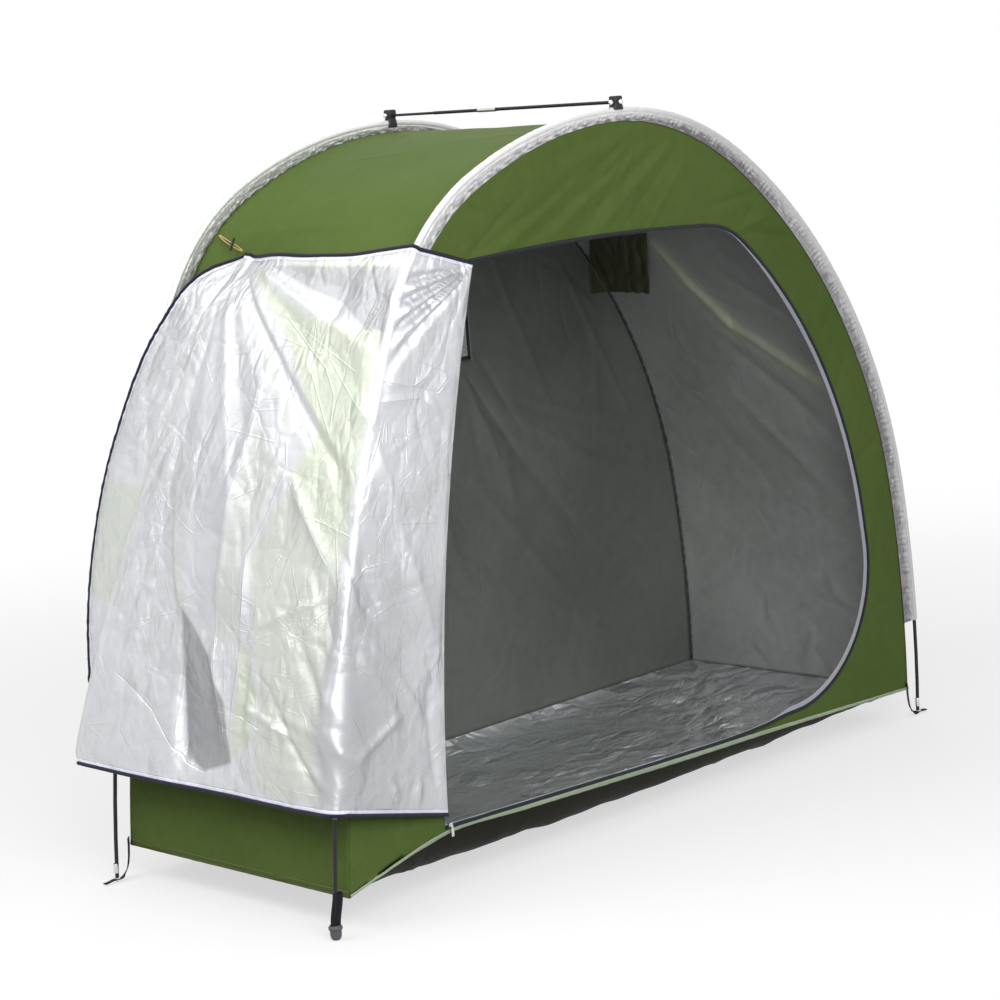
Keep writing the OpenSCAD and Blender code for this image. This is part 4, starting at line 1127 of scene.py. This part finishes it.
    flare_low = 0.040 * ease((0.85 - z_crease) / 0.58)
    flare = 0.040 * ease((0.85 - z) / 0.58) * ease((q - 0.25) / 0.75)
    deep = 0.060 * (1 - w) ** 0.7 * ease(w / 0.02) + 0.004
    level = 0.0100 + 0.45 * flare_low
    hang = loose * (1 - ease(q / 0.6)) + slack(y - NEAR_Y + 0.03, z)
    billow = 0.010 * np.sin(np.pi * q) * np.sin(np.pi * w)
    front_out = wrap + hang + billow + folds * calm + flare
    over = ease((y - y_end + deep + 0.05) / 0.04)
    front_out = np.maximum(front_out, level + 0.0085 - 0.05 * (1 - over))
    front_out = front_out + sunk(y, z)
    front = skin(y, z, front_out)
    # Pleat: the sheet turns under at the crease, runs back, and comes out again as the free edge's crescent.
    q = np.linspace(0, 1, 14)[None, 1:]
    roll = ease(q / 0.25)
    y = y_end + 0.003 * np.sin(np.pi * np.clip(q / 0.25, 0, 1)) - deep * ease((q - 0.08) / 0.92)
    z = z_crease + 0 * q
    turned = (front_out[:, -1:] - sunk(y_end, z_crease)) * (1 - roll) + (level + 0.0042) * roll
    under = skin(y, z, turned + sunk(y, z))
    q = np.linspace(0, 1, 30)[None, 1:]
    y_free = np.maximum(through(z_crease, EDGE_Z, EDGE_Y), y_end - 0.012)
    y = (y_end - deep) * (1 - q) + y_free * q
    z = z_crease + 0 * q
    curl = -0.030 * np.clip((y - FAR_Y - 0.012) / 0.14, 0, None) ** 2
    ruffle = 0.0012 * np.maximum(swell(4 * y, z, 84, 0.05), -0.2) * ease((q - 0.35) / 0.3)
    free = skin(y, z, level + 0.0042 * (1 - ease(q / 0.15)) + ruffle + curl + sunk(y, z))
    return np.concatenate([lip, side, turn, front, under, free], 1), (lip.shape[1] + side.shape[1], turn.shape[1],
                                                                      front.shape[1])


def edge_distance(points):
    """Distance of each point of the flap to its bottom, top and free edges, measured along the rows and columns."""
    down = np.linalg.norm(np.diff(points, axis=0), axis=-1)
    up = np.concatenate([np.zeros((1, points.shape[1])), np.cumsum(down, 0)])
    over = np.linalg.norm(np.diff(points, axis=1), axis=-1)
    left = np.concatenate([np.cumsum(over[:, ::-1], 1)[:, ::-1], np.zeros((points.shape[0], 1))], 1)
    return np.minimum(np.minimum(up, up[-1:] - up), left)


def make_flap():
    """Door flap of bright silver cloth with the outer green behind it, its zip round the bottom, free and top edges."""
    points, (start, turn, front) = flap_grid()
    z, y = points[..., 2], points[..., 1]
    on_front = np.zeros(points.shape[:2])
    on_front[:, start + turn:start + turn + front] = 1.0
    tint = 0.9 * np.exp(-((y + 0.24) / 0.13) ** 2 - ((z - 1.372) / 0.016) ** 2) * (0.6 + 0.5 * swell(y, z, 92, 0.05))
    tint = np.clip(tint * (0.9 + 0.25 * swell(y, z, 91, 0.12)), 0, 1) * on_front
    last = start + turn + front
    tint[:, last - 1] = 1.0
    fine = [stray_lines(93, 80, (NEAR_Y, 0.36, 0.28, 1.30), (0.05, 0.20), (1, 1), (1, 1)),
            stray_lines(94, 40, (NEAR_Y, -0.14, 0.28, 0.70), (0.03, 0.10), (1, 1), (1, 1)),
            stray_lines(95, 60, (-1.0, -0.58, 0.22, 1.15), (0.04, 0.14), (1, 1), (1, 1))]
    fine = [[((u0, v0), (u1, v1)) for u0, v0, u1, v1, _, _ in runs] for runs in fine]
    lines = {k: np.ones(points.shape[:2]) for k in [*FRONT_LINES, "line_d"]}
    for k, field in lines.items():
        field[:, :start] = line_field(points[:, :start, 0], z[:, :start], SIDE_LINES.get(k, fine[2]))
        field[:, start + turn:last] = line_field(y[:, start + turn:last], z[:, start + turn:last],
                                                 FRONT_LINES.get(k, fine[0] + fine[1]))
    tones = {}
    for k, shapes in TONES.items():
        area, share = np.full(points.shape[:2], -1.0), np.zeros(points.shape[:2])
        for first, end, part in ((start + turn, last, "front"), (last, points.shape[1], "free")):
            area[:, first:end], share[:, first:end] = regions(y[:, first:end], z[:, first:end], shapes[part])
        tones.update({k + "_area": area, k + "_share": share})
    # Low down the cloth hangs off the pole and lies in its own shade.
    column = np.arange(points.shape[1])
    near = np.interp(column, [start - 40, start - 8, start + turn, start + turn + 7], [0.18, 1.0, 1.0, 0.0])
    low = (column < start + turn + 7) & (z < 0.9)
    tones["grey_area"][low], tones["grey_share"][low] = 0.02, (0.42 * ease((0.86 - z) / 0.24) * near)[low]
    grid = patch(points, toward=(-1, -0.6, 0), tint=tint, edge=edge_distance(points), **lines, **tones)
    obj = piece("door_flap", [grid], [FLAP_SILVER, GREEN], ("flap_side", "flap_front"), solid=0.0012)
    path = np.concatenate([points[0, 6:-1], points[:-1, -1], points[-1, 6:][::-1]])
    inward = np.concatenate([points[3, 6:-1] - points[0, 6:-1], points[:-1, -6] - points[:-1, -1],
                             (points[-4, 6:] - points[-1, 6:])[::-1]])
    coil = sweep(path, ring(0.0044, 0.0038, 10), inward, caps=True)
    zip_edge = piece("flap_zip_coil", [patch(coil)], [COIL], ("flap_zip",), weld=True)


def make_door_zip():
    """Zip round the door: a navy coil on the opening's edge and a pale tape inside it, wider down the rear edge."""
    top, rear, low = door_sides((10, 200, 240, 260))[1:]
    line = np.concatenate([top, rear[1:], low[1:]])
    path = np.stack([line[:, 0], np.full(len(line), NEAR_Y - 0.0022), line[:, 1]], 1)
    way = unit(np.gradient(line, axis=0))
    inward = np.stack([way[:, 1], 0 * way[:, 0], -way[:, 0]], 1)
    outer = path - 0.004 * inward
    coil = patch(sweep(outer, ring(0.0042, 0.0028, 10), inward, caps=True))
    piece("door_zip_coil", [coil], [COIL], ("door_zip",), weld=True)
    d = lengths_along(line)
    edge = len(top)
    grow = ease((d - d[edge - 1]) / 0.35) * (1 - ease((d - d[edge + len(rear) - 3]) / 0.10))
    wide = (0.005 + 0.009 * grow)[:, None]
    q = np.linspace(-0.10, 1, 7)[None, :]
    spread = outer[:, None] + (wide * q)[..., None] * inward[:, None]
    spread[..., 1] += 0.0015 + 0.0025 * ease(q)
    uv = stacked(d[:, None], q * wide)
    tape = piece("door_zip_tape", [patch(spread, uv, toward=(0, -1, 0))], [ZIP_TAPE], solid=0.0010)


def make_hems():
    """Hems: a rolled pale tape along each side and a turned fold of the outer cloth along each end."""
    for name, y, out, hem, node in (("near_hem_tape", NEAR_Y, -1, near_hem_z, "near_hem"),
                                    ("far_hem_tape", FAR_Y, 1, lambda x: HEM_Z + 0 * x, "far_hem")):
        x = np.linspace(FRONT_HEM_X, REAR_HEM_X, 400)
        ripple = 0.0006 * swell(x, 0 * x, 41, 0.05)
        size = through(x, [-1.02, -0.8, -0.5, -0.2, 0.1, 0.5, 1.01], [0.34, 0.42, 0.66, 0.80, 0.80, 0.62, 0.42])
        path = np.stack([x, y + out * (0.0012 + ripple), hem(x) + 0.006 * size], 1)
        profile = np.array([[-0.009, 0.0], [-0.0085, 0.0022], [-0.004, 0.0034], [0.002, 0.0028], [0.0065, 0.0014],
                            [0.007, 0.0]])
        profile[:, 1] *= out
        obj = piece(name, [patch(sweep(path, profile * [1, -1], (0, 0, 1), scale=size), toward=(0, out, 0))],
                    [PIPING], (node,), solid=0.0008)
    for name, s, node in (("front_hem_fold", np.linspace(FRONT_SEAM - 0.001, FRONT_SEAM + HEM_H, 8), "front_hem"),
                          ("rear_hem_fold", np.linspace(REAR_SEAM + 0.001, REAR_SEAM - HEM_H, 8), "rear_hem")):
        y = np.linspace(NEAR_Y + 0.002, FAR_Y - 0.002, 120)[None, :]
        lift = 0.0016 * np.sin(np.linspace(0, np.pi, 8))[:, None] ** 0.5 + 0.0004 * swell(y, 0 * y, 43, 0.04)
        points = on_arch(s[:, None] + 0 * y, -SLEEVE_W + 0.0008 + lift, y)
        uv = stacked(y, np.linspace(0, HEM_H, 8)[:, None])
        obj = piece(name, [patch(points, uv, toward=(np.sign(points[0, 0, 0]), 0, 0))],
                    [HEM_GREEN], (node,), solid=0.0008)


def make_inner_trim():
    """Inside: dark binding over the four seams' corners between canopy and walls, and the green patch on one seam."""
    strips = []
    for y, hand in ((NEAR_Y, 1), (FAR_Y, -1)):
        s = np.linspace(FRONT_SEAM + 0.02, REAR_SEAM - 0.02, 420)[:, None]
        bend = np.array([[-0.0005, 0.0034], [0.0009, 0.0032], [0.0014, 0.0014], [0.0032, 0.0009], [0.0034, -0.0005]])
        points = on_arch(s + 0 * bend[None, :, 0], -seam_in(s) - 0.0016 - bend[None, :, 0],
                         y + hand * (0.0016 + bend[None, :, 1]))
        strips.append(patch(points, toward=(0, hand, 0)))
    binding = piece("inner_seam_binding", strips, [DARK_TAPE])
    make_patch()


def make_patch():
    """Green patch inside: a square of cloth laid into the far rear corner, partly on the far wall and partly on the
    canopy. Each row runs along the wall up to the seam and then across the canopy; its two ends lean so that the
    patch stands upright when seen through the door."""
    z = np.linspace(1.150, 1.335, 46)
    s = ARCH_RUN - run_at(REAR, z, SLEEVE_W + 0.004)
    p, n = arch(s)
    wall_y, seam_x = FAR_Y - 0.0040, (p - (seam_in(s) + 0.004)[:, None] * n)[:, 0]
    rise = (z - z[0]) / (z[-1] - z[0])
    lean_left, lean_right = 0.2715, 0.4225 - 0.0115 * rise
    from_x = np.minimum(0.685, seam_x)
    from_y = np.where(seam_x > 0.685, wall_y, (0.702 * seam_x - lean_left) / 0.712)
    to_y = (0.702 * seam_x - lean_right) / 0.712
    on_wall, on_roof = seam_x - from_x, from_y - to_y
    d = np.linspace(0, 1, 60)[None, :] * (on_wall + on_roof)[:, None]
    on_wall, from_x, from_y, seam_x = on_wall[:, None], from_x[:, None], from_y[:, None], seam_x[:, None]
    x, y = from_x + np.minimum(d, on_wall), from_y - np.maximum(d - on_wall, 0.0)
    v = (FAR_Y - y) / WIDTH
    off = 0.003 + 0.007 * np.sin(np.pi * v) + np.abs(0.0035 * swell(d, z[:, None], 52, 0.09)) * ease(d / 0.03)
    points = np.stack([x - off * n[:, :1], y - 0.4 * off, z[:, None] - off * n[:, 1:]], -1)
    obj = piece("inner_patch_cloth", [patch(points, toward=(-1, -1, 0))], [PATCH_GREEN],
                ("inner_patch",), solid=0.0010)


# Feet, straps and fittings

def ribbon(path, across, width, count=9):
    """Flat strap: a straight line of one width carried along a path."""
    path, across = np.asarray(path, float), np.broadcast_to(np.asarray(across, float), np.shape(path))
    v = np.linspace(-0.5, 0.5, count)
    d = lengths_along(path)
    points = path[:, None] + (width * v)[None, :, None] * across[:, None]
    return patch(points, stacked(d[:, None], width * (v + 0.5)[None, :]))


def make_feet():
    """Corner straps with their eyelets, the cap of the near front foot and the ferrule and pin of the other three."""
    foot_x = SPAN / 2
    for name, side, y, node, foot in (("far_front", -1, FAR_Y, "far_front_strap", "far_front_foot"),
                                      ("near_rear", 1, NEAR_Y, "near_rear_strap", "near_rear_foot"),
                                      ("far_rear", 1, FAR_Y, "far_rear_strap", "far_rear_foot")):
        hem_x = side * (foot_x - SLEEVE_W - 0.001)
        knots = np.array([[hem_x + side * 0.002, 0.094], [hem_x + side * 0.003, 0.072], [hem_x + side * 0.006, 0.046],
                          [hem_x + side * 0.012, 0.026], [hem_x + side * 0.024, 0.012],
                          [side * (foot_x - 0.010), 0.0085],
                          [side * (foot_x + 0.010), 0.0080], [side * (foot_x + 0.028), 0.0062],
                          [side * (foot_x + 0.0355), 0.0058]])
        t = np.linspace(0, 1, len(knots))
        q = np.linspace(0, 1, 90)
        line = spaced(np.stack([through(q, t, knots[:, 0]), through(q, t, knots[:, 1])], 1), 80)
        path = np.stack([line[:, 0], np.full(80, y), line[:, 1]], 1)
        v = np.linspace(-0.5, 0.5, 9)
        width = 0.022 - 0.010 * ease((np.linspace(0, 1, 80) - 0.62) / 0.2)
        d = np.linspace(0, 0.16, 80)
        way = unit(np.gradient(path, axis=0))
        across = np.array([0.707, 0.707 if name != "far_rear" else -0.707, 0.0])
        across = unit(across - (way @ across)[:, None] * way)
        points = path[:, None] + (width[:, None] * v)[..., None] * across[:, None]
        strap = piece(name + "_webbing", [patch(points, stacked(d[:, None], 0.024 * (v + 0.5)[None, :]),
                                                toward=(side, 0, 1))],
                      [WEBBING], (node,), solid=0.0022)
        eye = lathe([(0.0048, 0.0102), (0.0050, 0.0112), (0.0066, 0.0116), (0.0084, 0.0108), (0.0084, 0.0090)],
                    (side * foot_x, y, 0.0), 28)
        pin = lathe([(0, 0.0), (0.0022, 0.0), (0.0030, 0.0012), (0.0030, 0.0200), (0.0040, 0.0212), (0.0055, 0.0216),
                     (0.0058, 0.0226),
                     (0.0058, 0.0424), (0.0054, 0.0434), (0.0046, 0.0436)], (side * foot_x, y, 0.0), 28)
        piece(name + "_pin", [patch(eye), patch(pin)], [BRIGHT_METAL], (foot,), weld=True, sharp=40)
    x, y = -foot_x, NEAR_Y
    cap = [(0, 0.0), (0.0048, 0.0), (0.0078, 0.0010), (0.0102, 0.0036), (0.0118, 0.0078), (0.0124, 0.0120),
           (0.0125, 0.0216), (0.0127, 0.0226),
           (0.0146, 0.0232), (0.0150, 0.0240), (0.0150, 0.0280), (0.0146, 0.0288), (0.0129, 0.0294), (0.0126, 0.0312),
           (0.0120, 0.0320),
           (0.0066, 0.0320), (0.0062, 0.0310), (0.0062, 0.0140), (0, 0.0140)]
    points = lathe(cap, (0, 0, 0), 72)
    a = np.arctan2(points[..., 1], points[..., 0])
    rib = 1 - 0.05 * (0.5 + 0.5 * np.cos(12 * a)) * ease((points[...,
            2] - 0.002) / 0.006) * (1 - ease((points[..., 2] - 0.019) / 0.003))
    points[..., :2] *= rib[..., None]
    piece("foot_cap", [patch(points + [x, y, 0])], [GREY_PLASTIC], ("near_front_foot",), weld=True,
          sharp=50)
    # The near front strap: two layers of webbing from the hem corner down both sides of the pole into the cap.
    z = np.linspace(0.031, 0.098, 40)
    q = (z - z[0]) / (z[-1] - z[0])
    lean = x + 0.0007 + 0.012 * ease(q)
    layers = []
    for hand in (-1, 1):
        bow = hand * (0.0050 + 0.0012 * np.sin(np.pi * q))
        path = np.stack([lean, y + bow, z], 1)
        layers.append(ribbon(path, (1.0, 0, 0), 0.0225))
        layers[-1]["points"][:, :, 1] -= hand * 0.0030 * (np.linspace(-1, 1, 9) ** 2)[None, :]
    sides = [np.stack([layers[0]["points"][:, k], layers[1]["points"][:, k]], 1) for k in (0, -1)]
    strap = piece("near_front_webbing", layers + [patch(s) for s in sides], [WEBBING],
                  ("near_front_strap",), solid=0.0018)


def make_ridge():
    """Clips that hold the ridge rod on the sleeves: a rounded block with a neck that spreads into a saddle."""
    for name, y, node, low in (("near_clip_block", NEAR_Y, "near_ridge_clip", 1.646),
                               ("far_clip_block", FAR_Y, "far_ridge_clip", 1.634)):
        z = np.array([1.630, 1.632, 1.640, 1.648, 1.6515, 1.653, 1.656, 1.659, 1.6600, 1.6730, 1.6755, 1.6768])
        z = low + (z - z[0]) * (z[-1] - low) / (z[-1] - z[0])
        wide = np.array([0.0148, 0.0150, 0.0140, 0.0122, 0.0110, 0.0108, 0.0116, 0.0126, 0.0128, 0.0128, 0.0120,
                         0.0098])
        deep = np.array([0.0112, 0.0116, 0.0116, 0.0114, 0.0108, 0.0106, 0.0110, 0.0115, 0.0116, 0.0116, 0.0108,
                         0.0088])
        shape = ring(1.0, 1.0, 40, power=5.0)
        points = stacked(wide[:, None] * shape[None, :, 0], y + deep[:, None] * shape[None, :, 1], z[:, None])
        piece(name, [patch(capped(points))], [BLACK_PLASTIC], (node,), weld=True, sharp=50)


def make_toggle():
    """Elastic loop hooked over a small stick, from the pinned corner of the flap to the far sleeve."""
    p, n = half_at(FRONT, np.array(run_at(FRONT, 1.445, 0.0)))
    high = np.array([-(p[0] - 0.026 * n[0]), FAR_Y - 0.030, p[1] - 0.026 * n[1]])
    p, n = half_at(FRONT, np.array(run_at(FRONT, PIN[1] + 0.004, 0.0)))
    low = np.array([-(p[0] - 0.012 * n[0]), PIN[0] + 0.012, p[1] - 0.012 * n[1]])
    a = np.linspace(0, 2 * np.pi, 120)
    way = high - low
    over = np.cross(unit(way), [-n[0], 0.0, n[1]])
    loop = low + (0.5 - 0.5 * np.cos(a))[:, None] * way + (0.0032 * np.sin(a))[:, None] * over
    loop[:, 2] -= 0.004 * np.sin(a / 2) ** 2 * np.sin(np.pi * (0.5 - 0.5 * np.cos(a)))
    tube = sweep(loop, ring(0.0016, 0.0016, 10), (0.1, 0.2, 1.0))
    piece("elastic_loop", [patch(tube)], [ELASTIC], ("toggle_loop",), weld=True)
    centre = low + 0.40 * way + 0.004 * np.array([-n[0], 0, n[1]])
    axis = unit(np.array([n[1], 0.25, n[0]]))
    path = centre + np.linspace(-0.018, 0.018, 40)[:, None] * axis
    t = np.linspace(-1, 1, 40)
    size = np.sqrt(np.clip(1 - np.clip((np.abs(t) - 0.82) / 0.18, 0, 1) ** 2, 0.02,
                           1)) * (1 - 0.18 * np.exp(-(t / 0.16) ** 2))
    stick = sweep(path, ring(0.0030, 0.0030, 18), (0, 1, 0.2), caps=True, scale=size)
    piece("toggle_stick", [patch(stick)], [BLACK_PLASTIC], ("toggle",), weld=True)


def make_zip_pull():
    """Zip slider with a bridge, and its flat pull tab that hangs from it."""
    x, z = FOLD_LOW_X + 0.012, float(sill_z(np.array(FOLD_LOW_X + 0.012)))
    y = NEAR_Y - 0.0050
    shape = ring(1.0, 1.0, 32, power=4.0)
    depth = np.array([-0.0026, -0.0022, 0.0, 0.0022, 0.0026])
    grow = np.array([0.80, 0.96, 1.0, 0.96, 0.80])
    body = stacked(x + 0.0060 * grow[:, None] * shape[None, :, 0], y + depth[:, None],
                   z + 0.0048 * grow[:, None] * shape[None, :, 1])
    a = np.linspace(0, np.pi, 24)
    bridge = sweep(np.stack([x + 0.0040 * np.cos(a), y - 0.0026 - 0.0032 * np.sin(a), np.full(24, z)], 1),
                   ring(0.0009, 0.0014, 12), (0, 0, 1), caps=True)
    drop = np.linspace(0, 1, 40)
    wide = 0.0022 + 0.0016 * ease((drop - 0.1) / 0.3)
    path = np.stack([np.full(40, x), y - 0.0052 - 0.001 * np.sin(2.4 * drop), z + 0.001 - 0.026 * drop], 1)
    tab = sweep(path, ring(1.0, 0.25, 24, power=4.0), (1, 0, 0), caps=True, scale=wide)
    piece("zip_slider", [patch(capped(body)), patch(bridge), patch(tab)], [BRIGHT_METAL], ("zip_pull",),
          weld=True, sharp=45)


def finish_frame():
    """Materials for the frame's own rigid parts that stay as they are."""
    for name, material in (("near_pole", POLE_GLOSS), ("far_pole", POLE_GLOSS), ("ridge_rod", POLE_GLOSS),
                           ("ridge_ferrule", BRIGHT_METAL),
                           ("near_clip_balls", BRIGHT_METAL), ("far_clip_ball", BRIGHT_METAL)):
        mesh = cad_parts[name].data
        mesh.materials.clear()
        mesh.materials.append(material)


photo_camera()
studio()
make_canopy()
make_near_wall()
make_far_wall()
make_floor()
make_sleeve("near_sleeve_cloth", NEAR_Y, "near_sleeve", 21)
make_sleeve("far_sleeve_cloth", FAR_Y, "far_sleeve", 25)
make_flap()
make_door_zip()
make_hems()
make_inner_trim()
make_feet()
make_ridge()
make_toggle()
make_zip_pull()
finish_frame()
